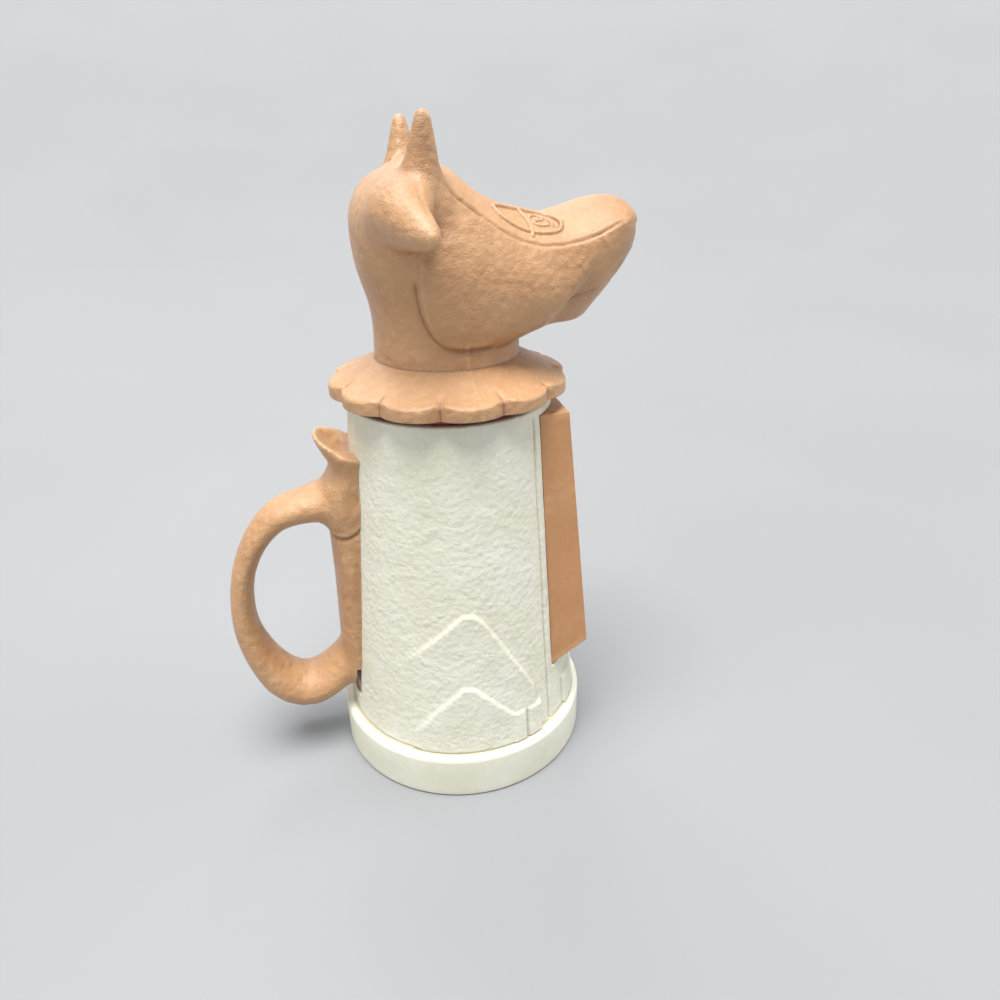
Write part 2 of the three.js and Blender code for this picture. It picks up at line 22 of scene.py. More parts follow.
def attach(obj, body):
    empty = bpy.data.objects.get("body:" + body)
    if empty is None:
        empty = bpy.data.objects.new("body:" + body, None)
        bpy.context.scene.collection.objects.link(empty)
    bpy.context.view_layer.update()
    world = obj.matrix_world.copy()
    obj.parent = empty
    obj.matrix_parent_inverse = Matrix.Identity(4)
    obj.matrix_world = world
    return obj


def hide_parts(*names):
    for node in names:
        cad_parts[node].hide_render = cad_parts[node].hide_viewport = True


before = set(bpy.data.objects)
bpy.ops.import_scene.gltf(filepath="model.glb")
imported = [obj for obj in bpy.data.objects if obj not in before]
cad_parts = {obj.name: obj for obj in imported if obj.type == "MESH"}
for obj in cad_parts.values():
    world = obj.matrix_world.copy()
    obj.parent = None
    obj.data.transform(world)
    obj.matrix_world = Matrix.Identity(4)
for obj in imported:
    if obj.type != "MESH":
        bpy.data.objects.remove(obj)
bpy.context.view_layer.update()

MM = 0.001
WELD = 1e-6
STROKE_REACH = 3
WEIGHT_LEVELS = 50
LOG = logging.getLogger("cow_creamer")

Point = tuple[float, float, float]
Pair = tuple[float, float]


class Span(Enum):
    """Whether a stroke fades out at its ends."""

    FULL = 0.0
    FADING = 0.12


# Working on meshes


def select_only(*pieces: bpy.types.Object) -> None:
    """Deselects everything, then selects the pieces and makes the first one active.

    Args:
        pieces: the objects to select.
    """
    bpy.ops.object.select_all(action="DESELECT")
    for piece in pieces:
        piece.select_set(True)
    bpy.context.view_layer.objects.active = pieces[0]


def copy_of_node(node: str, name: str) -> bpy.types.Object:
    """Copies a CAD node as a piece of its own and joins its loose triangles.

    Args:
        node: name of the CAD node.
        name: name of the new piece.

    Returns:
        The new object, at the origin.
    """
    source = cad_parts[node]
    piece = source.copy()
    piece.data = source.data.copy()
    piece.parent = None
    piece.name = name
    piece.data.name = name
    for key in list(piece.keys()):
        del piece[key]
    bpy.context.scene.collection.objects.link(piece)
    piece.data.materials.clear()
    select_only(piece)
    bpy.ops.object.mode_set(mode="EDIT")
    bpy.ops.mesh.select_all(action="SELECT")
    bpy.ops.mesh.remove_doubles(threshold=WELD)
    bpy.ops.object.mode_set(mode="OBJECT")
    return piece


def apply_modifier(piece: bpy.types.Object, kind: str, **values: object) -> None:
    """Adds a modifier to a piece and applies it.

    Args:
        piece: the object.
        kind: Blender's name of the modifier type.
        values: the modifier's settings.
    """
    select_only(piece)
    modifier = piece.modifiers.new(kind.title(), kind)
    for key, value in values.items():
        setattr(modifier, key, value)
    bpy.ops.object.modifier_apply(modifier=modifier.name)


def read(items: bpy.types.bpy_prop_collection, key: str) -> np.ndarray:
    """Reads one property of three numbers from every vertex or face of a mesh."""
    flat = np.empty(len(items) * 3, np.float32)
    items.foreach_get(key, flat)
    return flat.reshape(-1, 3).astype(float)


def points_of(piece: bpy.types.Object) -> np.ndarray:
    """Reads a mesh's vertices, in millimetres."""
    return read(piece.data.vertices, "co") / MM


def move_to(piece: bpy.types.Object, points: np.ndarray) -> None:
    """Writes a mesh's vertices, given in millimetres."""
    piece.data.vertices.foreach_set("co", (points * MM).astype(np.float32).ravel())
    piece.data.update()


def near_half(points: np.ndarray) -> np.ndarray:
    """Folds the points of both halves onto the half with positive y."""
    return np.column_stack([points[:, 0], np.abs(points[:, 1]), points[:, 2]])


def normals_of(piece: bpy.types.Object) -> np.ndarray:
    """Reads a mesh's vertex normals."""
    return read(piece.data.vertices, "normal")


def ramp(value: np.ndarray, low: float, high: float) -> np.ndarray:
    """Rises smoothly from 0 at low to 1 at high, or falls where low is above high."""
    share = np.clip((value - low) / (high - low), 0, 1)
    return share * share * (3 - 2 * share)


def rounded_path(path: Sequence[Point], steps: int = 8) -> np.ndarray:
    """Draws a smooth line through a few points.

    Args:
        path: the points, in millimetres.
        steps: steps between two of them.

    Returns:
        The points of the smooth line.
    """
    knots = np.array(path, float)
    if len(knots) < 3:
        return knots
    padded = np.vstack([2 * knots[0] - knots[1], knots, 2 * knots[-1] - knots[-2]])
    drawn = []
    for a, b, c, d in zip(padded, padded[1:], padded[2:], padded[3:]):
        for t in np.arange(steps) / steps:
            drawn.append(0.5 * (2 * b + (c - a) * t + (2 * a - 5 * b + 4 * c - d) * t**2
                                + (3 * b - a - 3 * c + d) * t**3))
    return np.array([*drawn, knots[-1]])


def flat_path(path: Sequence[Pair], steps: int = 8) -> np.ndarray:
    """Draws a smooth line through a few points of a plane."""
    return rounded_path([(across, up, 0) for across, up in path], steps)[:, :2]


def distance_to(points: np.ndarray, path: np.ndarray) -> tuple[np.ndarray, np.ndarray]:
    """Measures how far points are from a path.

    Args:
        points: the points, two or three numbers each.
        path: the path's corners, as many numbers each.

    Returns:
        Each point's distance, and its place along the path as a share from 0 to 1.
    """
    lengths = np.linalg.norm(np.diff(path, axis=0), axis=1)
    starts = np.concatenate([[0], np.cumsum(lengths)])
    best = np.full(len(points), np.inf)
    place = np.zeros(len(points))
    for a, b, start, length in zip(path, path[1:], starts, lengths):
        if length < 1e-9:
            continue
        t = np.clip((points - a) @ (b - a) / length**2, 0, 1)
        away = np.linalg.norm(points - a - t[:, None] * (b - a), axis=1)
        closer = away < best
        best[closer] = away[closer]
        place[closer] = (start + t[closer] * length) / starts[-1]
    return best, place


def weigh(piece: bpy.types.Object, name: str, weights: np.ndarray) -> None:
    """Stores a weight per vertex in a vertex group.

    Args:
        piece: the object.
        name: name of the group.
        weights: weights from 0 to 1.
    """
    group = piece.vertex_groups.get(name) or piece.vertex_groups.new(name=name)
    levels = np.round(np.clip(weights, 0, 1) * WEIGHT_LEVELS).astype(int)
    for level in np.unique(levels):
        picked = np.flatnonzero(levels == level).tolist()
        group.add(picked, float(level) / WEIGHT_LEVELS, "REPLACE")


def fuse(piece: bpy.types.Object, grain: float) -> None:
    """Fuses a piece into one even mesh with faces of a size in millimetres."""
    apply_modifier(piece, "REMESH", mode="VOXEL", voxel_size=grain * MM, adaptivity=0)


def smooth(piece: bpy.types.Object, weights: np.ndarray, rounds: int) -> None:
    """Smooths a mesh where its weights say so.

    Args:
        piece: the object.
        weights: how much each vertex takes part, from 0 to 1.
        rounds: how often the smoothing is repeated.
    """
    weigh(piece, "smoothed", weights)
    apply_modifier(piece, "SMOOTH", factor=0.5, iterations=rounds, vertex_group="smoothed")
    piece.vertex_groups.clear()


def refine(piece: bpy.types.Object, wanted: Callable[[np.ndarray], np.ndarray], cuts: int) -> None:
    """Subdivides the faces whose middles a test picks.

    Args:
        piece: the object.
        wanted: takes the middles of the faces, in millimetres, and says which are picked.
        cuts: cuts along each edge.
    """
    picked = wanted(read(piece.data.polygons, "center") / MM)
    select_only(piece)
    bpy.ops.object.mode_set(mode="EDIT")
    bpy.ops.mesh.select_all(action="DESELECT")
    bpy.ops.mesh.select_mode(type="FACE")
    bpy.ops.object.mode_set(mode="OBJECT")
    piece.data.polygons.foreach_set("select", picked.astype(bool))
    bpy.ops.object.mode_set(mode="EDIT")
    bpy.ops.mesh.subdivide(number_cuts=cuts)
    bpy.ops.mesh.select_mode(type="VERT")
    bpy.ops.object.mode_set(mode="OBJECT")


def thin_out(piece: bpy.types.Object, most: int) -> None:
    """Merges faces where a piece is flattest, until it has few enough triangles.

    Args:
        piece: the object.
        most: the most triangles it may have.
    """
    count = sum(len(face.vertices) - 2 for face in piece.data.polygons)
    if count > most:
        apply_modifier(piece, "DECIMATE", ratio=most / count)
    LOG.info("%s: %d triangles, %d kept", piece.name, count, min(count, most))


def combine(piece: bpy.types.Object, tool: bpy.types.Object, operation: str) -> None:
    """Joins a closed tool to a piece or cuts the piece with it, and removes the tool.

    Args:
        piece: the object that is changed.
        tool: the other object.
        operation: Blender's name of the boolean operation.
    """
    apply_modifier(piece, "BOOLEAN", object=tool, operation=operation, solver="MANIFOLD")
    bpy.data.objects.remove(tool)


def turned(name: str, outline: Sequence[Pair], steps: int) -> bpy.types.Object:
    """Spins an outline about the vertical axis into a closed piece.

    Args:
        name: name of the piece.
        outline: its (radius, height) points, in millimetres; its ends lie on the axis, or it
            comes back to its first point.
        steps: steps of the spin.

    Returns:
        The new object, at the origin.
    """
    mesh = bpy.data.meshes.new(name)
    mesh.from_pydata([(x * MM, 0, z * MM) for x, z in outline],
                     [(i, i + 1) for i in range(len(outline) - 1)], [])
    piece = bpy.data.objects.new(name, mesh)
    bpy.context.scene.collection.objects.link(piece)
    select_only(piece)
    bpy.ops.object.mode_set(mode="EDIT")
    bpy.ops.mesh.select_all(action="SELECT")
    bpy.ops.mesh.spin(steps=steps, angle=2 * math.pi, center=(0, 0, 0), axis=(0, 0, 1))
    bpy.ops.mesh.select_all(action="SELECT")
    bpy.ops.mesh.remove_doubles(threshold=WELD)
    bpy.ops.mesh.normals_make_consistent(inside=False)
    bpy.ops.object.mode_set(mode="OBJECT")
    return piece


def block(low: Point, high: Point) -> bpy.types.Object:
    """Makes a box between two corners, in millimetres, with its place in its mesh."""
    bpy.ops.object.select_all(action="DESELECT")
    middle = (Vector(low) + Vector(high)) * MM / 2
    bpy.ops.mesh.primitive_cube_add(size=MM, location=middle)
    shape = bpy.context.active_object
    shape.scale = Vector(high) - Vector(low)
    bpy.ops.object.transform_apply(location=True, rotation=True, scale=True)
    return shape


def arc(x: float, z: float, radius: float, start: float, end: float) -> list[Pair]:
    """Gives points of an arc in an outline, angles in degrees."""
    angles = np.radians(np.linspace(start, end, 7))
    return [(float(x + radius * np.cos(a)), float(z + radius * np.sin(a))) for a in angles]


@dataclass(frozen=True)
class Egg:
    """An egg shape in millimetres that is pressed onto a piece or carved out of it, on both sides."""

    centre: Point
    radii: Point
    turn: Point = (0, 0, 0)

    def pair(self) -> tuple["Egg", "Egg"]:
        """Gives the shape on the near side and on the far side."""
        (x, y, z), (roll, pitch, yaw) = self.centre, self.turn
        return tuple(Egg((x, side * y, z), self.radii, (side * -roll, pitch, side * yaw))
                     for side in (-1, 1))

    def make(self) -> bpy.types.Object:
        """Makes the shape with its place in its mesh.

        Returns:
            The new object.
        """
        bpy.ops.object.select_all(action="DESELECT")
        bpy.ops.mesh.primitive_uv_sphere_add(
            segments=32, ring_count=16, radius=MM, location=Vector(self.centre) * MM,
            rotation=[math.radians(angle) for angle in self.turn])
        shape = bpy.context.active_object
        shape.scale = self.radii
        bpy.ops.object.transform_apply(location=True, rotation=True, scale=True)
        return shape

    def press_on(self, piece: bpy.types.Object) -> None:
        """Adds the pair to a piece, to be fused with it later."""
        for half in self.pair():
            select_only(piece, half.make())
            bpy.ops.object.join()

    def carve_from(self, piece: bpy.types.Object) -> None:
        """Cuts the pair out of a piece."""
        for half in self.pair():
            combine(piece, half.make(), "DIFFERENCE")


@dataclass(frozen=True)
class Stroke:
    """A raised or sunk line on a surface.

    Its path runs in millimetres, its height is outward and a crease's is negative.
    """

    path: tuple[Point, ...]
    width: float
    height: float
    span: Span = Span.FADING
    both_sides: bool = True

    def mirrored(self) -> "Stroke":
        """Gives the same stroke on the other half."""
        return replace(self, path=tuple((x, -y, z) for x, y, z in self.path), both_sides=False)


def draw_strokes(piece: bpy.types.Object, strokes: Sequence[Stroke]) -> None:
    """Raises and sinks a piece's surface along strokes that are first laid onto it.

    Args:
        piece: the object.
        strokes: the strokes.
    """
    drawn = [*strokes, *(stroke.mirrored() for stroke in strokes if stroke.both_sides)]
    points, normals = points_of(piece), normals_of(piece)
    lift = np.zeros(len(points))
    for stroke in drawn:
        path = np.array([
            piece.closest_point_on_mesh(Vector(point) * MM)[1] / MM
            for point in rounded_path(stroke.path)])
        reach = STROKE_REACH * stroke.width
        near = np.flatnonzero(np.all((points > path.min(0) - reach)
                                     & (points < path.max(0) + reach), axis=1))
        away, place = distance_to(points[near], path)
        share = np.exp(-(away / stroke.width) ** 2)
        fade = stroke.span.value
        if fade:
            share *= ramp(place, 0, fade) * ramp(place, 1, 1 - fade)
        lift[near] += share * stroke.height
    move_to(piece, points + normals * lift[:, None])


def finish_piece(piece: bpy.types.Object, material: bpy.types.Material, nodes: Sequence[str],
                 angle: float = 180) -> bpy.types.Object:
    """Shades a finished piece, dresses it and puts it in the place of its CAD nodes.

    Args:
        piece: the object.
        material: its material.
        nodes: the CAD nodes that it stands for.
        angle: edges sharper than this many degrees stay sharp.

    Returns:
        The same object.
    """
    select_only(piece)
    if angle < 180:
        bpy.ops.object.shade_smooth_by_angle(angle=math.radians(angle))
    else:
        bpy.ops.object.shade_smooth()
    piece.data.materials.clear()
    piece.data.materials.append(material)
    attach(piece, "root")
    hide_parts(*nodes)
    LOG.info("%s: %d faces", piece.name, len(piece.data.polygons))
    return piece


# Node groups and materials


class NodeBoard:
    """A node tree that is filled in code."""

    def __init__(self, tree: bpy.types.NodeTree) -> None:
        """Takes an empty node tree."""
        self.tree = tree

    def add(self, kind: str, settings: dict[str, object] | None = None,
            **inputs: object) -> bpy.types.Node:
        """Adds a node.

        Args:
            kind: Blender's type of the node.
            settings: the node's own settings.
            inputs: values or sockets for its inputs, by name with underscores for spaces.

        Returns:
            The new node.
        """
        node = self.tree.nodes.new(kind)
        for key, value in (settings or {}).items():
            setattr(node, key, value)
        for key, value in inputs.items():
            self.feed(node, key.replace("_", " "), value)
        return node

    def feed(self, node: bpy.types.Node, key: str | int, value: object) -> None:
        """Sets or links one input of a node.

        Args:
            node: the node.
            key: the input's name or number.
            value: a plain value or an output socket.
        """
        if isinstance(value, bpy.types.NodeSocket):
            self.tree.links.new(value, node.inputs[key])
        else:
            node.inputs[key].default_value = value

    def maths(self, operation: str, first: object, second: object = 0.0) -> bpy.types.NodeSocket:
        """Adds a Math node and gives its output."""
        node = self.add("ShaderNodeMath", {"operation": operation})
        self.feed(node, 0, first)
        self.feed(node, 1, second)
        return node.outputs[0]

    def remap(self, value: object, low: float, high: float, new_low: float = 0.0,
              new_high: float = 1.0) -> bpy.types.NodeSocket:
        """Maps a value smoothly from one range to another and gives the output."""
        node = self.add("ShaderNodeMapRange", {"interpolation_type": "SMOOTHSTEP"})
        for key, given in (("Value", value), ("From Min", low), ("From Max", high),
                           ("To Min", new_low), ("To Max", new_high)):
            self.feed(node, key, given)
        return node.outputs["Result"]

    def noise(self, vector: object, scale: float, detail: float = 2.0,
              rough: float = 0.5) -> bpy.types.NodeSocket:
        """Adds a noise pattern and gives its strength."""
        node = self.add("ShaderNodeTexNoise", None, Vector=vector, Scale=scale, Detail=detail,
                        Roughness=rough)
        return node.outputs["Fac"]

    def blend(self, share: object, first: object, second: object) -> bpy.types.NodeSocket:
        """Mixes two colours and gives the result."""
        node = self.add("ShaderNodeMix", {"data_type": "RGBA"})
        self.feed(node, 0, share)
        self.feed(node, 6, first)
        self.feed(node, 7, second)
        return node.outputs[2]


@dataclass(frozen=True)
class Port:
    """One input or output of a node group."""

    name: str
    kind: str
    start: object = None


def new_group(name: str, inputs: Sequence[Port], outputs: Sequence[Port]) -> tuple[
        bpy.types.NodeTree, NodeBoard, bpy.types.Node, bpy.types.Node]:
    """Makes a shader node group with named inputs and outputs.

    Args:
        name: its name.
        inputs: its inputs.
        outputs: its outputs.

    Returns:
        The group, its board, its input node and its output node.
    """
    tree = bpy.data.node_groups.new(name, "ShaderNodeTree")
    for ports, side in ((inputs, "INPUT"), (outputs, "OUTPUT")):
        for port in ports:
            socket = tree.interface.new_socket(port.name, in_out=side, socket_type=port.kind)
            if port.start is not None:
                socket.default_value = port.start
    return (tree, NodeBoard(tree), tree.nodes.new("NodeGroupInput"),
            tree.nodes.new("NodeGroupOutput"))


FLOAT = "NodeSocketFloat"
COLOR = "NodeSocketColor"
VECTOR = "NodeSocketVector"


class Effects:
    """The node groups that the finishes share."""

    def __init__(self) -> None:
        """Builds every group once."""
        self.pebble = self.make_pebble()
        self.swell = self.make_swell()
        self.mottle = self.make_mottle()
        # edge wear, together with the painted shade in hollows and creases
        self.rubbed = self.make_wear_and_crease_shade()

    @staticmethod
    def make_pebble() -> bpy.types.NodeTree:
        """Makes the skin of a foamed moulding: fine pebbles with smaller grit on them.

        Returns:
            The group, which gives a height from 0 to 1.
        """
        tree, board, given, made = new_group(
            "pebbled_skin",
            [Port("Vector", VECTOR), Port("Pebbles", FLOAT, 0.8), Port("Grit", FLOAT, 0.5)],
            [Port("Height", FLOAT)])
        pebble = board.add("ShaderNodeTexVoronoi", {"feature": "SMOOTH_F1"},
                           Vector=given.outputs["Vector"], Scale=given.outputs["Pebbles"],
                           Smoothness=0.7)
        soft = board.add("ShaderNodeTexNoise", None, Vector=given.outputs["Vector"],
                         Scale=given.outputs["Pebbles"], Detail=3.0, Roughness=0.6)
        fine = board.noise(given.outputs["Vector"], 3.1, 2.0, 0.6)
        domes = board.maths("SUBTRACT", 1.0, pebble.outputs["Distance"])
        both = board.maths("MULTIPLY", board.maths("ADD", domes, soft.outputs["Fac"]), 0.5)
        grit = board.maths("MULTIPLY", fine, given.outputs["Grit"])
        board.feed(made, "Height", board.maths("ADD", both, grit))
        return tree

    @staticmethod
    def make_swell() -> bpy.types.NodeTree:
        """Makes the slow waves of a thick moulding that sank a little as it cooled.

        Returns:
            The group, which gives a height from 0 to 1.
        """
        tree, board, given, made = new_group(
            "slow_swell", [Port("Vector", VECTOR), Port("Size", FLOAT, 0.12)],
            [Port("Height", FLOAT)])
        bent = board.add("ShaderNodeTexNoise", None, Vector=given.outputs["Vector"],
                         Scale=given.outputs["Size"], Detail=4.0, Roughness=0.55, Distortion=0.6)
        board.feed(made, "Height", bent.outputs["Fac"])
        return tree

    @staticmethod
    def make_mottle() -> bpy.types.NodeTree:
        """Makes the uneven colour of foamed plastic: clouds, flow streaks and small specks.

        Returns:
            The group, which gives a colour.
        """
        tree, board, given, made = new_group(
            "mottled_colour",
            [Port("Vector", VECTOR), Port("Deep", COLOR), Port("Plain", COLOR),
             Port("Pale", COLOR), Port("Clouds", FLOAT, 0.1), Port("Specks", FLOAT, 0.3)],
            [Port("Color", COLOR)])
        clouds = board.add("ShaderNodeTexNoise", None, Vector=given.outputs["Vector"],
                           Scale=given.outputs["Clouds"], Detail=4.0, Roughness=0.6)
        streaks = board.noise(given.outputs["Vector"], 0.55, 3.0, 0.65)
        dots = board.noise(given.outputs["Vector"], 2.6, 1.0, 0.4)
        base = board.blend(board.remap(clouds.outputs["Fac"], 0.32, 0.68),
                           given.outputs["Deep"], given.outputs["Plain"])
        veined = board.blend(board.remap(streaks, 0.5, 0.8, 0.0, 0.3), base,
                             given.outputs["Pale"])
        speck = board.maths("MULTIPLY", board.remap(dots, 0.66, 0.78), given.outputs["Specks"])
        board.feed(made, "Color", board.blend(speck, veined, given.outputs["Pale"]))
        return tree

    @staticmethod
    def make_wear_and_crease_shade() -> bpy.types.NodeTree:
        """Makes paler edges where hands have rubbed, and painted shade that darkens hollows and
        creases.

        Returns:
            The group, which gives the mask of rubbed edges and the mask of painted shade, each from 0
            to 1.
        """
        tree, board, given, made = new_group(
            "rubbed_edges_and_crease_shade", [Port("Vector", VECTOR), Port("Reach", FLOAT, 0.6)],
            [Port("Mask", FLOAT), Port("Crease Shade", FLOAT)])
        bent = board.add("ShaderNodeNewGeometry").outputs["Pointiness"]
        uneven = board.noise(given.outputs["Vector"], 0.4, 2.0)
        edge = board.remap(bent, 0.505, 0.54)
        mask = board.maths("MULTIPLY", edge, board.remap(uneven, 0.25, 0.6))
        board.feed(made, "Mask", board.maths("MULTIPLY", mask, given.outputs["Reach"]))
        # painted shade: concave places, where pointiness is low, give the mask that darkens hollows
        # and creases
        board.feed(made, "Crease Shade", board.remap(bent, 0.495, 0.46))
        return tree


@dataclass(frozen=True)
class Skin:
    """One finish of moulded plastic: its colours, the painted shade in its hollows, its gloss and its
    relief in millimetres.
    """

    name: str
    deep: tuple[float, float, float]
    plain: tuple[float, float, float]
    pale: tuple[float, float, float]
    # hollow: colour of the painted shade that darkens hollows and creases
    hollow: tuple[float, float, float]
    clouds: float
    specks: float
    pebbles: float
    grit: float
    pebble_height: float
    swell_size: float
    swell_height: float
    roughness: Pair
    rubbed: float
    smooth_below: float = -10.0
    brushed: float = 0.0
    coat: float = 0.0
    coat_roughness: float = 0.5
    smooth_relief: float = 0.12
    hollow_shade_share: float = 0.8
    ior: float = 1.5

    def make(self, effects: Effects) -> bpy.types.Material:
        """Builds the finish's material.

        Args:
            effects: the shared node groups.

        Returns:
            The material.
        """
        material = bpy.data.materials.new(self.name)
        material.use_nodes = True
        material.diffuse_color = (*self.plain, 1)
        board = NodeBoard(material.node_tree)
        shader = next(node for node in board.tree.nodes if node.type == "BSDF_PRINCIPLED")
        place = board.add("ShaderNodeTexCoord").outputs["Object"]
        scaled = board.add("ShaderNodeMapping", {"vector_type": "POINT"}, Vector=place,
                           Scale=(1 / MM, 1 / MM, 1 / MM)).outputs["Vector"]
        colour = self.place_group(board, effects.mottle, scaled, Deep=(*self.deep, 1),
                                  Plain=(*self.plain, 1), Pale=(*self.pale, 1),
                                  Clouds=self.clouds, Specks=self.specks).outputs["Color"]
        wear_and_shade = self.place_group(board, effects.rubbed, scaled, Reach=self.rubbed)
        colour = board.blend(wear_and_shade.outputs["Mask"], colour, (*self.pale, 1))
        # painted shade: hollows and creases are darkened towards the hollow colour
        sunk = board.maths("MULTIPLY", wear_and_shade.outputs["Crease Shade"], self.hollow_shade_share)
        colour = board.blend(sunk, colour, (*self.hollow, 1))
        board.feed(shader, "Base Color", colour)
        height = board.add("ShaderNodeSeparateXYZ", None, Vector=scaled).outputs["Z"]
        above = board.remap(height, self.smooth_below - 0.5, self.smooth_below + 0.5,
                            self.smooth_relief, 1.0)
        pebble = self.place_group(board, effects.pebble, scaled, Pebbles=self.pebbles,
                                  Grit=self.grit).outputs["Height"]
        swell = self.place_group(board, effects.swell, scaled, Size=self.swell_size)
        waves = board.maths("MULTIPLY", swell.outputs["Height"],
                            self.swell_height / self.pebble_height)
        relief = board.maths("MULTIPLY", board.maths("ADD", pebble, waves), above)
        if self.brushed:
            relief = board.maths("ADD", relief, self.brush_lines(board, scaled))
        bump = board.add("ShaderNodeBump", None, Strength=1.0, Height=relief,
                         Distance=self.pebble_height * MM)
        board.feed(shader, "Normal", bump.outputs["Normal"])
        gloss = board.remap(board.noise(scaled, 0.35, 3.0), 0.3, 0.7, *self.roughness)
        board.feed(shader, "Roughness", gloss)
        shader.inputs["IOR"].default_value = self.ior
        shader.inputs["Coat Weight"].default_value = self.coat
        shader.inputs["Coat Roughness"].default_value = self.coat_roughness
        return material

    def brush_lines(self, board: NodeBoard, vector: bpy.types.NodeSocket) -> bpy.types.NodeSocket:
        """Adds the fine upright strokes of hair on the back of the head.

        Args:
            board: the material's board.
            vector: coordinates in millimetres.

        Returns:
            The strokes' height.
        """
        drawn = board.add("ShaderNodeMapping", {"vector_type": "POINT"}, Vector=vector,
                          Scale=(2.6, 2.6, 0.4)).outputs["Vector"]
        lines = board.noise(drawn, 0.8, 2.0, 0.55)
        split = board.add("ShaderNodeSeparateXYZ", None, Vector=vector).outputs
        behind = board.maths("MULTIPLY", board.remap(split["X"], -3.0, -7.0),
                             board.remap(split["Z"], 128.0, 138.0))
        behind = board.maths("MULTIPLY", behind, board.remap(split["Z"], 155.0, 151.0))
        return board.maths("MULTIPLY", board.maths("MULTIPLY", lines, behind), self.brushed)

    @staticmethod
    def place_group(board: NodeBoard, tree: bpy.types.NodeTree, vector: bpy.types.NodeSocket,
                    **values: object) -> bpy.types.Node:
        """Places a shared group in a material.

        Args:
            board: the material's board.
            tree: the group.
            vector: the pattern's coordinates.
            values: values of its other inputs.

        Returns:
            The group's node.
        """
        node = board.add("ShaderNodeGroup", {"node_tree": tree}, Vector=vector)
        for key, value in values.items():
            board.feed(node, key, value)
        return node


# each finish's hollow colour is painted shade for its hollows and creases
CREAM = Skin(
    "cream_plastic", deep=(0.61, 0.60, 0.48), plain=(0.665, 0.66, 0.565), pale=(0.78, 0.78, 0.71),
    hollow=(0.50, 0.46, 0.32), clouds=0.05, specks=0.25, pebbles=0.7, grit=0.4, pebble_height=0.3,
    swell_size=0.13, swell_height=0.5, roughness=(0.42, 0.58), rubbed=0.5, smooth_below=13.2)
BROWN = Skin(
    "brown_plastic", deep=(0.395, 0.202, 0.086), plain=(0.47, 0.26, 0.119), pale=(0.62, 0.41, 0.235),
    hollow=(0.22, 0.095, 0.038), clouds=0.08, specks=0.3, pebbles=0.5, grit=0.35, pebble_height=0.55,
    swell_size=0.16, swell_height=0.5, roughness=(0.40, 0.52), rubbed=0.4, brushed=0.3, coat=0.5)
PANEL = Skin(
    "panel_plastic", deep=(0.40, 0.195, 0.08), plain=(0.44, 0.22, 0.095), pale=(0.56, 0.32, 0.16),
    hollow=(0.24, 0.10, 0.04), clouds=0.04, specks=0.1, pebbles=1.4, grit=0.3, pebble_height=0.03,
    swell_size=0.06, swell_height=0.15, roughness=(0.34, 0.46), rubbed=0.6)
RED = Skin(
    "red_plastic", deep=(0.16, 0.008, 0.012), plain=(0.22, 0.012, 0.018), pale=(0.32, 0.03, 0.035),
    hollow=(0.10, 0.004, 0.006), clouds=0.1, specks=0.1, pebbles=1.4, grit=0.2, pebble_height=0.02,
    swell_size=0.1, swell_height=0.05, roughness=(0.32, 0.42), rubbed=0.4)


# The pieces


@dataclass(frozen=True)
class Wall:
    """The leaning wall of the beaker, which the handle, its tongue and the panel follow."""

    base_height: float = 13.0
    foot_radius: float = 32.3
    rim_radius: float = 25.5
    rim_height: float = 102.5
    flat_span: Pair = (29.0, 100.7)
    flat_reach: Pair = (20.8, 18.1)

    def radius(self, height: np.ndarray | float) -> np.ndarray:
        """Gives the outer radius at a height."""
        share = (np.asarray(height) - self.base_height) / (self.rim_height - self.base_height)
        return self.foot_radius + (self.rim_radius - self.foot_radius) * share

    def flat(self, height: np.ndarray) -> np.ndarray:
        """Gives how far the flat at the front reaches at a height."""
        share = (height - self.flat_span[0]) / (self.flat_span[1] - self.flat_span[0])
        return self.flat_reach[0] + (self.flat_reach[1] - self.flat_reach[0]) * share

    def cone(self, grow: float) -> bpy.types.Object:
        """Makes the wall as a solid cone, grown by a distance."""
        low, high = -5.0, self.rim_height + 10
        return turned("cone", [(0, low), (float(self.radius(low)) + grow, low),
                               (float(self.radius(high)) + grow, high), (0, high)], 360)

    def shell(self, low: Point, high: Point, inner: float, outer: float) -> bpy.types.Object:
        """Makes the part of a box that lies between two distances from the wall.

        Args:
            low: the box's low corner.
            high: the box's high corner.
            inner: distance of the inner side from the wall, negative inside it.
            outer: distance of the outer side from the wall.

        Returns:
            The new object.
        """
        shape = block(low, high)
        combine(shape, self.cone(outer), "INTERSECT")
        combine(shape, self.cone(inner), "DIFFERENCE")
        return shape


WALL = Wall()


@dataclass(frozen=True)
class Hill:
    """A low hill in the beaker's side: its outline seen from the side, in millimetres."""

    outline: tuple[Pair, ...]
    rise: float
    fade: Pair
    foot_share: float = 0.45
    edge_reach: float = 5.0

    def height(self, x: np.ndarray, z: np.ndarray) -> np.ndarray:
        """Gives how far the hill stands out of the wall.

        Args:
            x: places along the creamer.
            z: heights.

        Returns:
            The rise in millimetres: full along the outline, less below it and none above it.
        """
        path = flat_path(self.outline, 6)
        away, _ = distance_to(np.column_stack([x, z]), path)
        under = z < np.interp(x, path[:, 0], path[:, 1], left=-np.inf, right=-np.inf)
        depth = np.where(under, away, -away)
        edge = np.exp(-np.maximum(depth, 0) / self.edge_reach)
        share = self.foot_share + (1 - self.foot_share) * edge
        return self.rise * ramp(depth, -0.5, 0.5) * share * ramp(x, *self.fade)


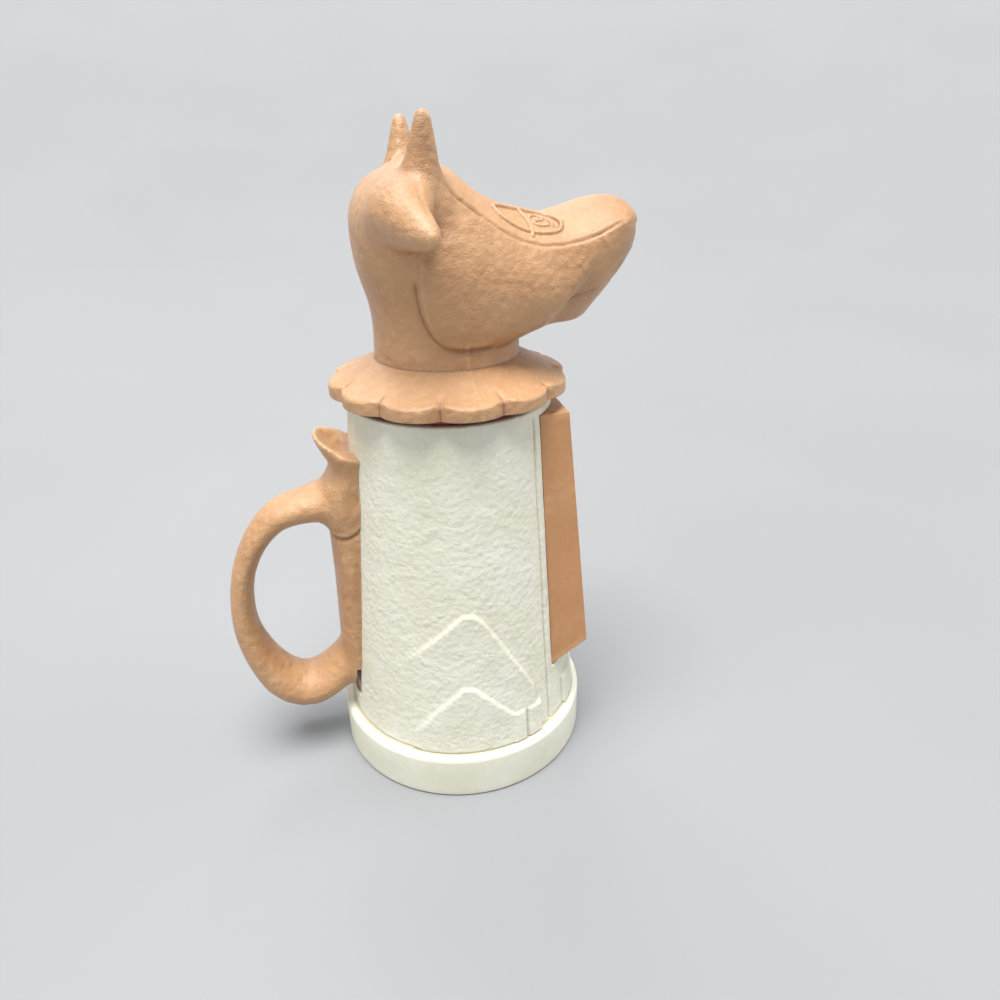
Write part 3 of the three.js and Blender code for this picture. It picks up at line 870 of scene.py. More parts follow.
@dataclass
class Beaker:
    """The cream beaker with its base ring, its flat for the panel and its low relief."""

    material: bpy.types.Material
    base_radius: float = 35.0
    base_height: float = WALL.base_height
    foot_radius: float = WALL.foot_radius
    rim_radius: float = WALL.rim_radius
    rim_height: float = WALL.rim_height
    wall: float = 2.2
    pocket: tuple[Point, Point] = ((-45, -8.4, 18.2), (-20, 8.4, 36.0))
    pocket_depth: float = 1.4
    floor: float = 3.2
    steps: int = 420
    hills: tuple[Hill, ...] = (
        Hill(((-23, 36.5), (-21, 39), (-15.4, 44.3), (-6.6, 53), (-3.5, 54.6), (-0.4, 53.2),
              (3.3, 47.7), (13.6, 29.2), (14.4, 22.9), (15.9, 14.5)), 0.65, (-22, -12)),
        Hill(((-22, 12), (-20.5, 14.5), (-14.4, 24.1), (-7, 32), (-4.4, 33.4), (-1.4, 32),
              (7.2, 23), (7.6, 22.6)), 0.6, (-20, -15)))
    shed_span: Pair = (7.4, 16.0)
    shed_seam: float = 11.4
    shed_height: float = 22.6
    shed_rise: float = 1.0
    step_angle: Pair = (39.5, 38.2)
    step_rise: float = 0.8
    slope_height: float = 30.0
    groove_depth: float = 0.5
    groove_place: float = 1.6
    groove_width: float = 0.7

    def profile(self) -> list[Pair]:
        """Gives the whole profile, from the middle of the underside round to the inner floor."""
        low, high = WALL.flat_span
        ring = [(0.0, 0.6), (self.base_radius - 4, 0.6), (self.base_radius - 3.2, 0.0)]
        ring += arc(self.base_radius - 0.8, 0.8, 0.8, -90, 0)
        ring += [(self.base_radius, height) for height in (2.4, 2.6, 6.0)]
        ring += arc(self.base_radius - 1.5, self.base_height - 1.5, 1.5, 0, 90)
        ring += [(self.foot_radius + 0.5, self.base_height - 0.05)]
        dense = np.arange(self.base_height + 0.35, 57, 0.42)
        sparse = np.arange(57.5, self.rim_height - 0.8, 1.5)
        heights = sorted([*(h for h in [*dense, *sparse] if min(abs(h - low), abs(h - high)) > 0.3),
                          low - 0.02, low + 0.02, high - 0.02, high + 0.02])
        side = [(float(WALL.radius(h)), float(h)) for h in heights]
        rim = arc(self.rim_radius - 0.5, self.rim_height - 0.5, 0.5, 0, 90)
        inner = self.rim_radius - self.wall
        lip = arc(inner + 0.4, self.rim_height - 0.4, 0.4, 90, 180)
        down = [(float(WALL.radius(h)) - self.wall, float(h))
                for h in (high - 3, 90, 80, 70, 60, 50, 40, low + 0.02, low - self.wall,
                          low - self.wall - 0.02, 20, 12)]
        corner = float(WALL.radius(self.floor)) - self.wall
        bowl = arc(corner - 4, self.floor + 4, 4, 0, -90)
        return [*ring, *side, *rim, *lip, *down, *bowl, (0.0, self.floor)]

    def build(self) -> bpy.types.Object:
        """Turns the beaker from its profile, gives it its relief and dresses it.

        Returns:
            The finished piece.
        """
        piece = turned("beaker", self.profile(), self.steps)
        move_to(piece, self.shaped(points_of(piece)))
        combine(piece, WALL.shell(*self.pocket, -self.pocket_depth, 9.0), "DIFFERENCE")
        return finish_piece(piece, self.material, ["cup"], angle=50)

    def shaped(self, points: np.ndarray) -> np.ndarray:
        """Moves the turned points to the flat, the hills and the grooves.

        Args:
            points: the turned points, in millimetres.

        Returns:
            The moved points.
        """
        x, y, z = points.T
        radius = np.hypot(x, y)
        low, high = WALL.flat_span
        outer = (np.abs(radius - WALL.radius(z)) < 0.3) & (z > self.base_height)
        lift = np.where(outer, self.relief(x, y, z), 0.0)
        grown = (radius + lift) / np.maximum(radius, 1e-6)
        x, y = x * grown, y * grown
        ahead = outer & (z > low) & (z < high)
        x = np.where(ahead, np.minimum(x, WALL.flat(z)), x)
        inside = (radius < WALL.radius(z) - 1) & (z > low - self.wall)
        x = np.where(inside, np.minimum(x, WALL.flat(z) - self.wall), x)
        return np.column_stack([x, y, z])

    def relief(self, x: np.ndarray, y: np.ndarray, z: np.ndarray) -> np.ndarray:
        """Gives how far the low relief stands out of the wall at each point.

        Args:
            x: places along the creamer.
            y: places across it.
            z: heights.

        Returns:
            The rise in millimetres, negative in grooves.
        """
        rise = sum(hill.height(x, z) for hill in self.hills)
        front = (x > 0) & (z < self.slope_height)
        low, high = self.shed_span
        seam = ramp(np.abs(x - self.shed_seam), 0.55, 0.25)
        shed = (ramp(x, low - 0.3, low + 0.3) * ramp(x, high + 0.3, high - 0.3)
                * ramp(z, self.shed_height + 0.4, self.shed_height - 0.4) * (1 - 0.9 * seam))
        angle = np.degrees(np.arctan2(np.abs(y), x))
        step = ramp(angle, *self.step_angle) * ramp(z, 22.9, 22.0)
        low_forms = np.maximum(shed * self.shed_rise, step * self.step_rise)
        rise = np.where(front, np.maximum(rise, low_forms), rise)
        groove = WALL.flat(z) - self.groove_place - x
        sunk = ramp(groove, -0.15, 0.15) * ramp(groove, self.groove_width + 0.15,
                                                self.groove_width - 0.15)
        return rise - self.groove_depth * sunk * ramp(z, 101, 100)


FACE_EDGE: tuple[Point, ...] = (
    (-4.6, 15.0, 154.3), (-2.4, 15.5, 152.6), (0.5, 15.8, 150.1), (3.6, 15.9, 147.6),
    (7.6, 16.0, 144.7), (11.9, 16.0, 141.9), (16.4, 16.0, 139.9), (21, 15.9, 139.0),
    (26.8, 15.4, 139.2), (32.6, 14.8, 140.4), (37.3, 14.0, 142.4), (41, 12.6, 143.4))


@dataclass
class Collar:
    """The scalloped collar under the cow's neck, cored out from below."""

    scallops: int = 12
    lobe_radius: float = 29.5
    cusp_radius: float = 27.5
    lobe_power: float = 2.4
    low: float = 104.6
    neck_height: float = 113.0
    neck_radius: float = 17.7
    bore_radius: float = 15.4
    core_radius: float = 24.0
    core_height: float = 107.03
    slope: float = 0.4898
    rounding: float = 0.8
    steps_per_scallop: int = 44
    edge_height: float = 1.2
    crown_rise: float = 0.34
    cusp_dip: float = 0.5
    mould_line: float = 1.9
    line_width: float = 0.3
    line_height: float = 0.16

    def build(self) -> bpy.types.Object:
        """Turns the collar at its smallest round and draws its edge out into scallops.

        Returns:
            The collar as a closed ring, to be joined to the neck.
        """
        collar = turned("collar", self.outline(), self.scallops * self.steps_per_scallop)
        move_to(collar, self.scalloped(points_of(collar)))
        return collar

    def top(self, radius: np.ndarray | float) -> np.ndarray | float:
        """Gives the height of the sloping top at a radius."""
        return self.neck_height - (radius - self.neck_radius) * self.slope

    def outline(self) -> list[Pair]:
        """Gives the closed outline of the ring for the radius of its cusps."""
        edge, round_off = self.cusp_radius, self.rounding
        shoulder = self.top(edge - round_off) - round_off
        core_top = self.core_height + (self.core_radius - self.bore_radius) * 0.5256
        slope = [(float(r), float(self.top(r)))
                 for r in (16.4, *np.arange(18.2, edge - round_off - 0.2, 0.75))]
        return [
            (self.bore_radius, self.top(16.4)), *slope,
            *arc(edge - round_off, shoulder, round_off, 70, 0),
            *((edge, float(z)) for z in np.linspace(shoulder, self.low + 0.4, 6)[1:-1]),
            *arc(edge - 0.4, self.low + 0.4, 0.4, 0, -90),
            (self.core_radius + 0.3, self.low), (self.core_radius, self.low + 0.3),
            (self.core_radius, self.core_height), (self.bore_radius, core_top),
            (self.bore_radius, self.top(16.4))]

    def scalloped(self, points: np.ndarray) -> np.ndarray:
        """Draws the turned points out to the scallops and raises their soft crowns.

        Args:
            points: the points of the round ring, in millimetres.

        Returns:
            The moved points.
        """
        x, y, z = points.T
        radius, angle = np.hypot(x, y), np.arctan2(y, x)
        lobe = 2 * math.pi / self.scallops
        from_lobe = np.abs(angle / lobe - np.round(angle / lobe)) * 2
        drawn = (self.lobe_radius - self.cusp_radius) * (1 - from_lobe**self.lobe_power)
        share = np.clip((radius - self.core_radius) / (self.cusp_radius - self.core_radius), 0, 1)
        new_radius = radius + drawn * share
        on_top = z > self.low + self.edge_height
        z = z - on_top * drawn * share * self.slope
        near_edge = ramp(share, 0.1, 1.0) * on_top
        z = z + near_edge * (self.crown_rise * ramp(from_lobe, 1.0, 0.72)
                             - self.cusp_dip * ramp(from_lobe, 0.84, 1.0))
        line = np.exp(-((new_radius * np.cos(angle) - self.mould_line) / self.line_width) ** 2)
        line = self.line_height * line * (np.abs(y) > self.neck_radius)
        rim = radius > self.cusp_radius - 0.1
        new_radius = new_radius + line * rim
        z = z + line * on_top * ~rim
        return np.column_stack([new_radius * np.cos(angle), new_radius * np.sin(angle), z])


@dataclass
class CowHead:
    """The hollow cow's head with its collar, worked finely over its CAD solid."""

    material: bpy.types.Material
    collar: Collar = field(default_factory=Collar)
    grain: float = 0.6
    ear_shoulders: tuple[Egg, Egg] = (Egg((-11.8, 14.8, 146.6), (7.8, 7.2, 7.0)),
                                      Egg((-8.6, 17.2, 149.6), (4.6, 6.0, 4.0), (24, 0, 0)))
    ear_hollow: Egg = Egg((-3.4, 26.4, 146.2), (3.4, 5.4, 4.0), (14, 0, -6))
    ear_root: Point = (-15.5, 17.0, 146.5)
    ear_root_reach: Pair = (8.5, 5.0)
    horn_foot: float = 150.0
    horn_tips: Pair = (155.0, 159.0)
    ear_tips: Pair = (24.0, 28.0)
    neck_foot: Pair = (113.2, 116.0)
    round_neck: Pair = (118.5, 115.5)
    neck_play: float = 0.7
    beside_edge: Pair = (0.6, 2.6)
    mouth: Point = (43.0, 0.0, 131.5)
    around_mouth: Pair = (12.0, 9.0)
    chin_ahead: Pair = (24.0, 29.0)
    chin_below: Pair = (126.0, 121.0)
    muzzle_ahead: Pair = (33.0, 37.0)
    muzzle_below: Pair = (139.0, 135.0)
    edge_zone: Pair = (10.0, 134.0)
    edge_reach: float = 2.4
    rounds: int = 40
    ear_root_rounds: int = 220
    seam_rounds: int = 6
    triangles: int = 185000
    strokes: tuple[Stroke, ...] = (
        # groove along the edge of the face, and the low border inside it
        Stroke(FACE_EDGE, 0.42, -0.36),
        Stroke(tuple((x, y - 1.3, z + 0.3) for x, y, z in FACE_EDGE), 0.7, 0.18),
        # raised edge of the jaw, and the crease behind it
        Stroke(((-7.0, 19.6, 138.4), (-7.9, 19.3, 136.4), (-8.3, 19.1, 133.5), (-8.4, 18.8, 130.0),
                (-7.7, 18.9, 124.8), (-5.4, 18.9, 121.2), (-2.6, 18.6, 119.4), (1.5, 18.4, 118.7),
                (8, 18.2, 119.0)), 0.8, 0.32),
        Stroke(((-9.4, 17.8, 134.5), (-9.9, 17.4, 130.5), (-9.4, 17.2, 124.8), (-6.9, 17.5, 120.3),
                (-3.2, 17.7, 117.9), (2, 17.6, 117.2), (9, 16.2, 117.4)), 0.75, -0.45),
        # fold between cheek and chin
        Stroke(((14.5, 16, 119.6), (18.8, 15.8, 121.7), (22.4, 15.4, 124.6), (27.1, 14, 126.7),
                (31.7, 13, 127.6), (35.5, 12.6, 128.2)), 0.85, -0.45),
        # corner of the mouth and its lips
        Stroke(((36.4, 11.6, 131.8), (38.6, 11.2, 132.6), (41.2, 10.6, 133.6)), 0.5, -0.3),
        Stroke(((38.2, 9.8, 129.4), (42.0, 9.4, 134.2), (44.4, 7.6, 136.3), (45.2, 0, 136.9)),
               0.6, 0.22),
        # nostrils on the front of the muzzle
        Stroke(((46.2, 4.2, 142.6), (46.0, 6.4, 141.8), (45.4, 8.0, 140.4)), 1.0, -0.6),
        Stroke(((46.4, 3.6, 144.6), (46.0, 6.4, 144.0), (45.0, 9.0, 142.2)), 0.8, 0.25),
        # fine line behind the rim of the ear
        Stroke(((-8.2, 16.5, 153.4), (-8.4, 19.5, 151.6), (-8.4, 23, 150.0), (-8.0, 27, 148.6),
                (-7.6, 30.0, 147.0)), 0.4, -0.24),
        # arched tuft inside the root of each horn
        Stroke(((-10.2, 10.3, 154.6), (-9.3, 10.8, 155.9), (-7.9, 11.4, 156.9), (-6.0, 11.8, 157.4)),
               0.5, 0.4),
        Stroke(((-11.4, 9.6, 154.4), (-10.8, 10.4, 155.6), (-9.6, 11.2, 156.8)), 0.5, -0.4),
        # mould line down the side of the neck
        Stroke(((1.2, 18.6, 118.4), (1.4, 17.9, 115.6), (1.6, 17.8, 113.4)), 0.35, 0.4,
               Span.FULL),
    )
    eye_span: Pair = (5.8, 28.0)
    eye_sides: Pair = (1.8, 16.2)
    face_level: float = 137.6
    ring_width: float = 0.42
    ring_height: float = 0.55
    groove_place: float = 0.95
    groove_width: float = 0.32
    groove_depth: float = 0.2
    eye_ring: tuple[Pair, ...] = (
        (9.8, 8.9), (11.0, 7.2), (13.4, 5.6), (17.4, 4.2), (21.4, 4.3), (24.2, 6.2), (25.5, 8.9),
        (25.2, 10.8), (23.8, 12.0), (20.9, 12.6), (17.0, 12.7), (13.4, 12.1), (11.0, 10.9),
        (9.8, 8.9))
    eye_lines: tuple[tuple[tuple[Pair, ...], float, float], ...] = (
        (((16.9, 4.6), (17.3, 7.4), (17.8, 10.6), (17.8, 12.6), (17.4, 14.1)), 0.40, 0.5),
        (((18.6, 7.6), (19.4, 6.5), (20.6, 6.2), (21.6, 7.0), (21.2, 8.2), (19.6, 8.8),
          (19.2, 9.9), (20.6, 10.4), (22.3, 10.0)), 0.32, 0.42),
        (((22.6, 7.2), (23.4, 8.6), (23.3, 10.4)), 0.3, 0.36),
    )

    def build(self) -> bpy.types.Object:
        """Works the head from its CAD solid and dresses it.

        Returns:
            The finished piece.
        """
        piece = copy_of_node("head_lid", "cow_head")
        combine(piece, self.below_neck(), "DIFFERENCE")
        for shoulder in self.ear_shoulders:
            shoulder.press_on(piece)
        fuse(piece, self.grain)
        self.ear_hollow.carve_from(piece)
        fuse(piece, self.grain)
        smooth(piece, self.softness(points_of(piece)), self.rounds)
        smooth(piece, self.root_softness(points_of(piece)), self.ear_root_rounds)
        self.true_up(piece)
        self.sharpen(piece)
        draw_strokes(piece, self.strokes)
        self.draw_eyes(piece)
        combine(piece, self.collar.build(), "UNION")
        smooth(piece, self.seam_softness(points_of(piece)), self.seam_rounds)
        thin_out(piece, self.triangles)
        return finish_piece(piece, self.material, ["head_lid"], angle=42)

    def below_neck(self) -> bpy.types.Object:
        """Makes the tool that takes the CAD collar away and leaves the foot of the neck."""
        neck, foot = self.collar.neck_radius + 0.02, self.collar.neck_height - 0.9
        high = self.collar.neck_height + 1.6
        return turned("cut", [(0, 90), (40, 90), (40, high), (neck, high), (neck, foot), (0, foot)],
                      128)

    def seam_softness(self, points: np.ndarray) -> np.ndarray:
        """Picks the joint of neck and collar, to be eased a little."""
        radius = np.hypot(points[:, 0], points[:, 1])
        away = np.hypot(radius - self.collar.neck_radius, points[:, 2] - self.collar.neck_height)
        return ramp(away, 0.7, 0.3)

    def root_softness(self, points: np.ndarray) -> np.ndarray:
        """Picks the hollow between the ear and the back of the skull, to be filled softly."""
        away = np.linalg.norm(near_half(points) - self.ear_root, axis=1)
        return ramp(away, *self.ear_root_reach)

    def true_up(self, piece: bpy.types.Object) -> None:
        """Makes the foot of the neck truly round again and gives the horns their full height."""
        points = points_of(piece)
        x, y, z = points.T
        radius = np.hypot(x, y)
        middle = (self.collar.neck_radius + self.collar.bore_radius) / 2
        target = np.where(radius > middle, self.collar.neck_radius, self.collar.bore_radius)
        share = ramp(z, *self.round_neck) * (np.abs(radius - target) < self.neck_play)
        grown = 1 + (target / np.maximum(radius, 1e-6) - 1) * share
        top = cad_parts["head_lid"].data.vertices
        full = max(vertex.co.z for vertex in top) / MM
        stretch = (full - self.horn_foot) / (z.max() - self.horn_foot)
        z = np.where(z > self.horn_foot, self.horn_foot + (z - self.horn_foot) * stretch, z)
        move_to(piece, np.column_stack([x * grown, y * grown, z]))

    def sharpen(self, piece: bpy.types.Object) -> None:
        """Cuts the faces finer along the edge of the face, where its line is drawn."""
        line = rounded_path(FACE_EDGE)

        def beside_line(middles: np.ndarray) -> np.ndarray:
            """Picks the faces beside the line."""
            folded = near_half(middles)
            near = np.all(folded[:, 1:] > self.edge_zone, axis=1)
            away = np.full(len(middles), np.inf)
            away[near] = distance_to(folded[near], line)[0]
            return away < self.edge_reach

        refine(piece, beside_line, 1)

    def softness(self, points: np.ndarray) -> np.ndarray:
        """Says how much each place is smoothed: broad forms fully, tips and edges little.

        Args:
            points: the vertices, in millimetres.

        Returns:
            Weights from 0 to 1.
        """
        x, y, z = points.T
        weight = np.minimum(1 - 0.85 * ramp(z, *self.horn_tips),
                            1 - 0.75 * ramp(np.abs(y), *self.ear_tips))
        weight = np.minimum(weight, ramp(z, *self.neck_foot))
        for side in (-1, 1):
            line = rounded_path([(px, side * py, pz) for px, py, pz in FACE_EDGE])
            away, _ = distance_to(points, line)
            weight = np.minimum(weight, 0.16 + 0.84 * ramp(away, *self.beside_edge))
        mouth = np.linalg.norm(points - self.mouth, axis=1)
        weight = np.minimum(weight, 1 - 0.75 * ramp(mouth, *self.around_mouth))
        chin = ramp(x, *self.chin_ahead) * ramp(z, *self.chin_below)
        muzzle = ramp(x, *self.muzzle_ahead) * ramp(z, *self.muzzle_below)
        return np.minimum(weight, 1 - np.maximum(0.93 * chin, 0.75 * muzzle))

    def draw_eyes(self, piece: bpy.types.Object) -> None:
        """Refines the top of the face and draws the raised eyes on it."""

        def over_eye(middles: np.ndarray) -> np.ndarray:
            """Picks the faces that carry an eye."""
            x, y, z = near_half(middles).T
            inside = (x > self.eye_span[0]) & (x < self.eye_span[1])
            return inside & (y > self.eye_sides[0]) & (y < self.eye_sides[1]) & (z > self.face_level)

        for _ in range(2):
            refine(piece, over_eye, 1)
        points, normals = points_of(piece), normals_of(piece)
        flat = near_half(points)[:, :2]
        top = (normals[:, 2] > 0.15) & (points[:, 2] > self.face_level)
        away, _ = distance_to(flat, flat_path(self.eye_ring))
        lift = self.ring_height * np.exp(-(away / self.ring_width) ** 4)
        lift -= self.groove_depth * np.exp(-((away - self.groove_place) / self.groove_width) ** 2)
        for path, width, height in self.eye_lines:
            near, _ = distance_to(flat, flat_path(path))
            lift = np.maximum(lift, height * np.exp(-(near / width) ** 4))
        move_to(piece, points + normals * (lift * top)[:, None])


@dataclass
class Handle:
    """The brown handle with its finger loop, its thumb rest and the tongue below."""

    material: bpy.types.Material
    grain: float = 0.5
    rounds: int = 40
    rest_lift: float = 0.7
    lifted: Pair = (87.0, 94.0)
    thumb_rest: Pair = (86.5, 89.5)
    beside_wall: Pair = (0.6, 2.6)
    wall_reach: float = 0.5
    wall_overlap: float = 1.5
    strokes: tuple[Stroke, ...] = (
        # lip of the bulb above the spine, and the groove under it
        Stroke(((-35.2, 3.8, 72.4), (-33.6, 6.0, 70.9), (-31.9, 8.0, 70.7), (-30.1, 9.4, 71.0),
                (-28.6, 10.0, 71.5), (-27.0, 10.2, 72.3), (-25.6, 10.3, 73.4)), 0.6, 0.28,
               Span.FULL),
        Stroke(((-34.6, 3.8, 71.0), (-33.0, 6.0, 69.7), (-31.7, 8.0, 69.5), (-30.0, 9.3, 69.8),
                (-28.5, 9.9, 70.3), (-26.9, 10.1, 71.0), (-25.4, 10.2, 72.2)), 0.5, -0.5,
               Span.FULL),
    )
    touch: float = 0.06
    tongue: tuple[Point, Point] = ((-45, -7.9, 18.8), (-20, 7.9, 35.5))
    tongue_root: tuple[Point, Point] = ((-45, -7.4, 30.5), (-20, 7.4, 35.5))
    relieved: tuple[Point, Point] = ((-45, -12.0, 10.0), (-20, 12.0, 28.4))
    relieved_depth: Pair = (-0.5, 1.3)
    tongue_depth: Pair = (-1.2, -0.5)
    root_depth: Pair = (-1.0, 0.8)

    def build(self) -> bpy.types.Object:
        """Works the handle from its CAD solid and dresses it.

        Returns:
            The finished piece.
        """
        piece = copy_of_node("handle", "jug_handle")
        self.lean_on_wall(piece)
        fuse(piece, self.grain)
        smooth(piece, self.softness(points_of(piece)), self.rounds)
        points = points_of(piece)
        points[:, 2] += self.rest_lift * ramp(points[:, 2], *self.lifted)
        move_to(piece, points)
        draw_strokes(piece, self.strokes)
        combine(piece, WALL.cone(self.touch), "DIFFERENCE")
        combine(piece, WALL.shell(*self.relieved, *self.relieved_depth), "DIFFERENCE")
        tongue = WALL.shell(*self.tongue, *self.tongue_depth)
        combine(tongue, WALL.shell(*self.tongue_root, *self.root_depth), "UNION")
        combine(piece, tongue, "UNION")
        return finish_piece(piece, self.material, ["handle"], angle=42)

    def lean_on_wall(self, piece: bpy.types.Object) -> None:
        """Draws the side towards the beaker into its wall, so that it can be cut to it."""
        points = points_of(piece)
        x, y, z = points.T
        radius = np.hypot(x, y)
        close = radius - WALL.radius(z) < self.wall_reach
        deep = WALL.radius(z) - self.wall_overlap
        share = np.where(close, deep / radius, 1.0)
        move_to(piece, np.column_stack([x * share, y * share, z]))

    def softness(self, points: np.ndarray) -> np.ndarray:
        """Says how much each place is smoothed: the loop fully, the thumb rest little.

        Args:
            points: the vertices, in millimetres.

        Returns:
            Weights from 0 to 1.
        """
        x, y, z = points.T
        gap = np.hypot(x, y) - WALL.radius(z)
        weight = 0.3 + 0.7 * ramp(gap, *self.beside_wall)
        return np.minimum(weight, 1 - 0.7 * ramp(z, *self.thumb_rest))


@dataclass
class FrontPanel:
    """The brown cover on the flat: a shallow box, wider below, open towards the beaker."""

    material: bpy.types.Material
    low: float = 29.4
    high: float = 100.4
    gap: float = 0.3
    depth: Pair = (10.6, 7.5)
    half_width: Pair = (22.3, 17.6)
    bevel_rise: float = 6.0
    rounding: float = 1.4
    wall: float = 2.0
    bow: float = 0.6

    def build(self) -> bpy.types.Object:
        """Builds the panel from a grid that is bent, drawn back, rounded and given its wall.

        Returns:
            The finished piece.
        """
        bpy.ops.object.select_all(action="DESELECT")
        bpy.ops.mesh.primitive_grid_add(x_subdivisions=24, y_subdivisions=40, size=2)
        piece = bpy.context.active_object
        piece.name = piece.data.name = "front_cover"
        bpy.ops.object.mode_set(mode="EDIT")
        bpy.ops.mesh.select_all(action="SELECT")
        bpy.ops.mesh.extrude_region_move(TRANSFORM_OT_translate={"value": (0, 0, -1)})
        bpy.ops.mesh.delete(type="FACE")
        bpy.ops.object.mode_set(mode="OBJECT")
        move_to(piece, self.placed(points_of(piece) * MM))
        select_only(piece)
        bpy.ops.object.mode_set(mode="EDIT")
        bpy.ops.mesh.select_all(action="SELECT")
        bpy.ops.mesh.normals_make_consistent(inside=False)
        bpy.ops.object.mode_set(mode="OBJECT")
        self.face_outwards(piece)
        apply_modifier(piece, "SOLIDIFY", thickness=self.wall * MM, offset=-1.0,
                       use_even_offset=True)
        apply_modifier(piece, "BEVEL", width=self.rounding * MM, segments=5, limit_method="ANGLE",
                       angle_limit=math.radians(50), use_clamp_overlap=True)
        return finish_piece(piece, self.material, ["front_panel"], angle=40)

    def placed(self, grid: np.ndarray) -> np.ndarray:
        """Moves a grid from -1 to 1, with its drawn copy one lower, to the panel's shape.

        Args:
            grid: the grid's points.

        Returns:
            The panel's points, in millimetres.
        """
        side, share, level = grid[:, 0], (grid[:, 1] + 1) / 2, grid[:, 2]
        front = level > -0.5
        low = np.where(front, self.low + self.bevel_rise, self.low)
        z = low + (self.high - low) * share
        tall = (z - self.low) / (self.high - self.low)
        back = WALL.flat(z) + self.gap
        depth = self.depth[0] + (self.depth[1] - self.depth[0]) * tall
        half = self.half_width[0] + (self.half_width[1] - self.half_width[0]) * tall
        x = back + np.where(front, depth + self.bow * (1 - side**2), 0)
        return np.column_stack([x, side * half, z])

    @staticmethod
    def face_outwards(piece: bpy.types.Object) -> None:
        """Turns the faces so that the front looks to the front."""
        front = max(piece.data.polygons, key=lambda face: face.center.x)
        if front.normal.x < 0:
            select_only(piece)
            bpy.ops.object.mode_set(mode="EDIT")
            bpy.ops.mesh.select_all(action="SELECT")
            bpy.ops.mesh.flip_normals()
            bpy.ops.object.mode_set(mode="OBJECT")


@dataclass
class SealRing:
    """The dark red ring between the beaker's rim and the collar."""

    material: bpy.types.Material
    grain: float = 0.5

    def build(self) -> bpy.types.Object:
        """Rounds the ring's CAD solid and dresses it.

        Returns:
            The finished piece.
        """
        piece = copy_of_node("seal_ring", "rim_seal")
        fuse(piece, self.grain)
        smooth(piece, np.full(len(piece.data.vertices), 0.5), 6)
        return finish_piece(piece, self.material, ["seal_ring"])


# The studio


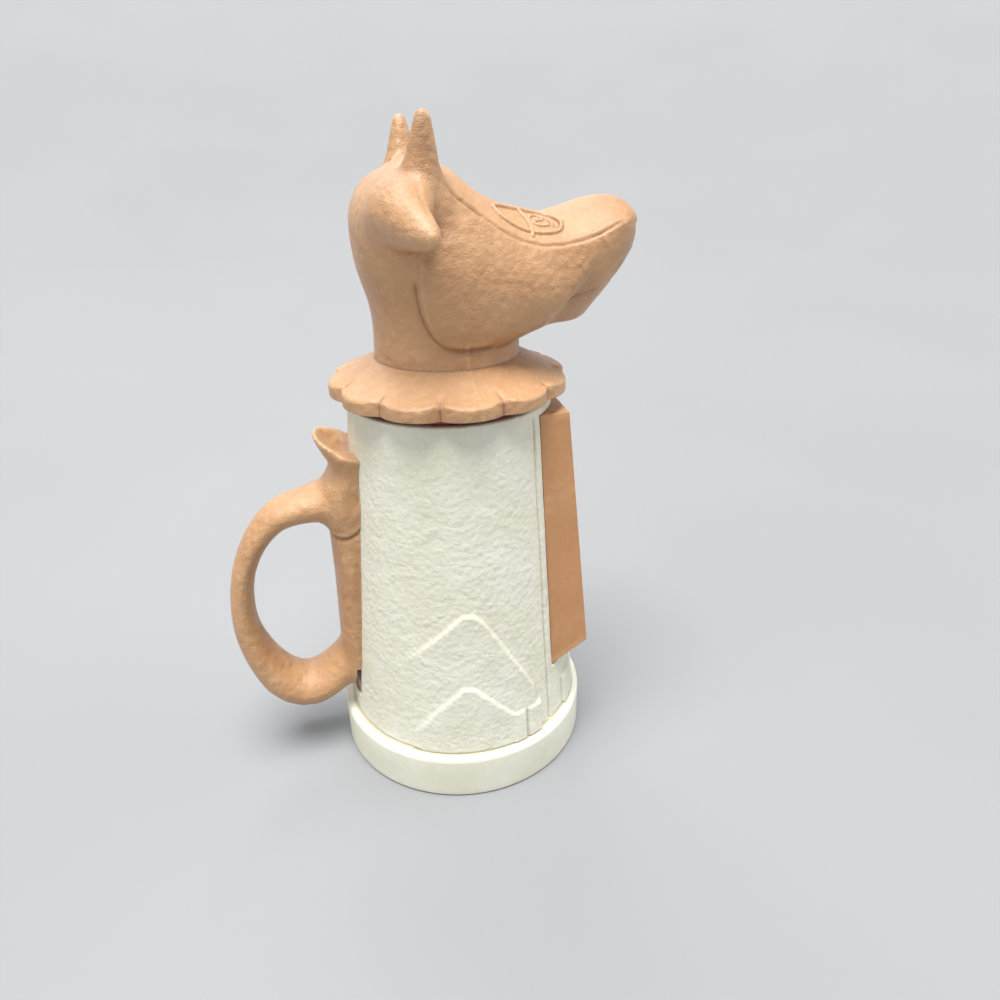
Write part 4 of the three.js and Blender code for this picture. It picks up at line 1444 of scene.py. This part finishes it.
@dataclass
class Studio:
    """The pale floor, the soft lights and the camera of the photograph."""

    lens: float = 26.62
    place: Point = (-33.06, -177.2, 160.19)
    yaw: float = 14.51
    pitch: float = 26.12
    roll: float = -0.95
    lights: tuple[tuple[str, Point, float, float, tuple[float, float, float]], ...] = (
        ("key_light", (-100, -200, 1250), 35, 6.2, (1.0, 0.99, 0.97)),
        ("back_light", (-100, 1000, 620), 50, 2.2, (0.97, 0.985, 1.0)),
        ("right_light", (900, -100, 620), 45, 1.1, (1.0, 0.995, 0.98)),
        ("left_light", (-900, -500, 560), 45, 0.6, (1.0, 0.995, 0.98)),
    )
    floor_reach: float = 400
    floor_bend: float = 1500
    daylight: float = 0.24

    def build(self) -> None:
        """Sets up the floor, the lights, the world and the camera."""
        self.lay_floor()
        for light in self.lights:
            self.hang_light(*light)
        world = bpy.data.worlds.new("studio")
        world.use_nodes = True
        world.node_tree.nodes["Background"].inputs["Color"].default_value = (0.86, 0.88, 0.92, 1)
        world.node_tree.nodes["Background"].inputs["Strength"].default_value = self.daylight
        bpy.context.scene.world = world
        bpy.context.scene.view_settings.view_transform = "Standard"
        self.set_camera()

    def lay_floor(self) -> None:
        """Lays the plain pale floor, which bends up far away so that no edge shows."""
        outline = [(0, 0), (self.floor_reach / 2, 0),
                   *arc(self.floor_reach, self.floor_bend, self.floor_bend, -90, -8)]
        floor = turned("floor", outline, 96)
        select_only(floor)
        bpy.ops.object.shade_smooth()
        material = bpy.data.materials.new("pale_floor")
        material.use_nodes = True
        board = NodeBoard(material.node_tree)
        shader = next(node for node in board.tree.nodes if node.type == "BSDF_PRINCIPLED")
        place = board.add("ShaderNodeTexCoord").outputs["Object"]
        cloud = board.noise(place, 6.0, 2.0)
        tint = board.blend(cloud, (0.225, 0.23, 0.24, 1), (0.24, 0.245, 0.255, 1))
        board.feed(shader, "Base Color", tint)
        shader.inputs["Roughness"].default_value = 0.6
        floor.data.materials.append(material)
        floor.visible_shadow = False

    @staticmethod
    def hang_light(name: str, place: Point, spread: float, power: float,
                   colour: tuple[float, float, float]) -> None:
        """Hangs a broad, far light that looks at the creamer.

        Args:
            name: its name.
            place: the way it shines from, in millimetres.
            spread: the angle it fills, in degrees.
            power: its strength in watts on a square metre.
            colour: its colour.
        """
        lamp = bpy.data.lights.new(name, "SUN")
        lamp.angle = math.radians(spread)
        lamp.energy = power
        lamp.color = colour
        holder = bpy.data.objects.new(name, lamp)
        holder.visible_camera = False
        bpy.context.scene.collection.objects.link(holder)
        holder.location = Vector(place) * MM
        aim = Vector((0, 0, 80)) * MM - holder.location
        holder.rotation_mode = "QUATERNION"
        holder.rotation_quaternion = aim.to_track_quat("-Z", "Y")

    def set_camera(self) -> None:
        """Puts the camera where the photograph was taken from."""
        yaw, pitch, roll = (math.radians(angle) for angle in (self.yaw, self.pitch, self.roll))
        ahead = Vector((math.sin(yaw) * math.cos(pitch), math.cos(yaw) * math.cos(pitch),
                        -math.sin(pitch)))
        right = Vector((math.cos(yaw), -math.sin(yaw), 0))
        up = right.cross(ahead)
        rolled_right = math.cos(roll) * right + math.sin(roll) * up
        rolled_up = -math.sin(roll) * right + math.cos(roll) * up
        data = bpy.data.cameras.new("camera")
        data.lens = self.lens
        data.sensor_width = 36
        data.clip_start = 0.01
        camera = bpy.data.objects.new("camera", data)
        bpy.context.scene.collection.objects.link(camera)
        turn = Matrix((rolled_right, rolled_up, -ahead)).transposed()
        camera.matrix_world = Matrix.Translation(Vector(self.place) * MM) @ turn.to_4x4()
        bpy.context.scene.camera = camera


@dataclass
class CowCreamer:
    """The whole creamer with its finishes."""

    effects: Effects = field(default_factory=Effects)

    def build(self) -> list[bpy.types.Object]:
        """Builds every piece in order.

        Returns:
            The finished pieces.
        """
        cream, brown, panel, red = (skin.make(self.effects) for skin in (CREAM, BROWN, PANEL, RED))
        makers = (Beaker(cream), SealRing(red), FrontPanel(panel), Handle(brown), CowHead(brown))
        return [maker.build() for maker in makers]


def main() -> None:
    """Builds the creamer and its studio."""
    logging.basicConfig(level=logging.INFO, format="%(message)s")
    pieces = CowCreamer().build()
    Studio().build()
    LOG.info("%d pieces", len(pieces))


if __name__ == "__main__":
    main()
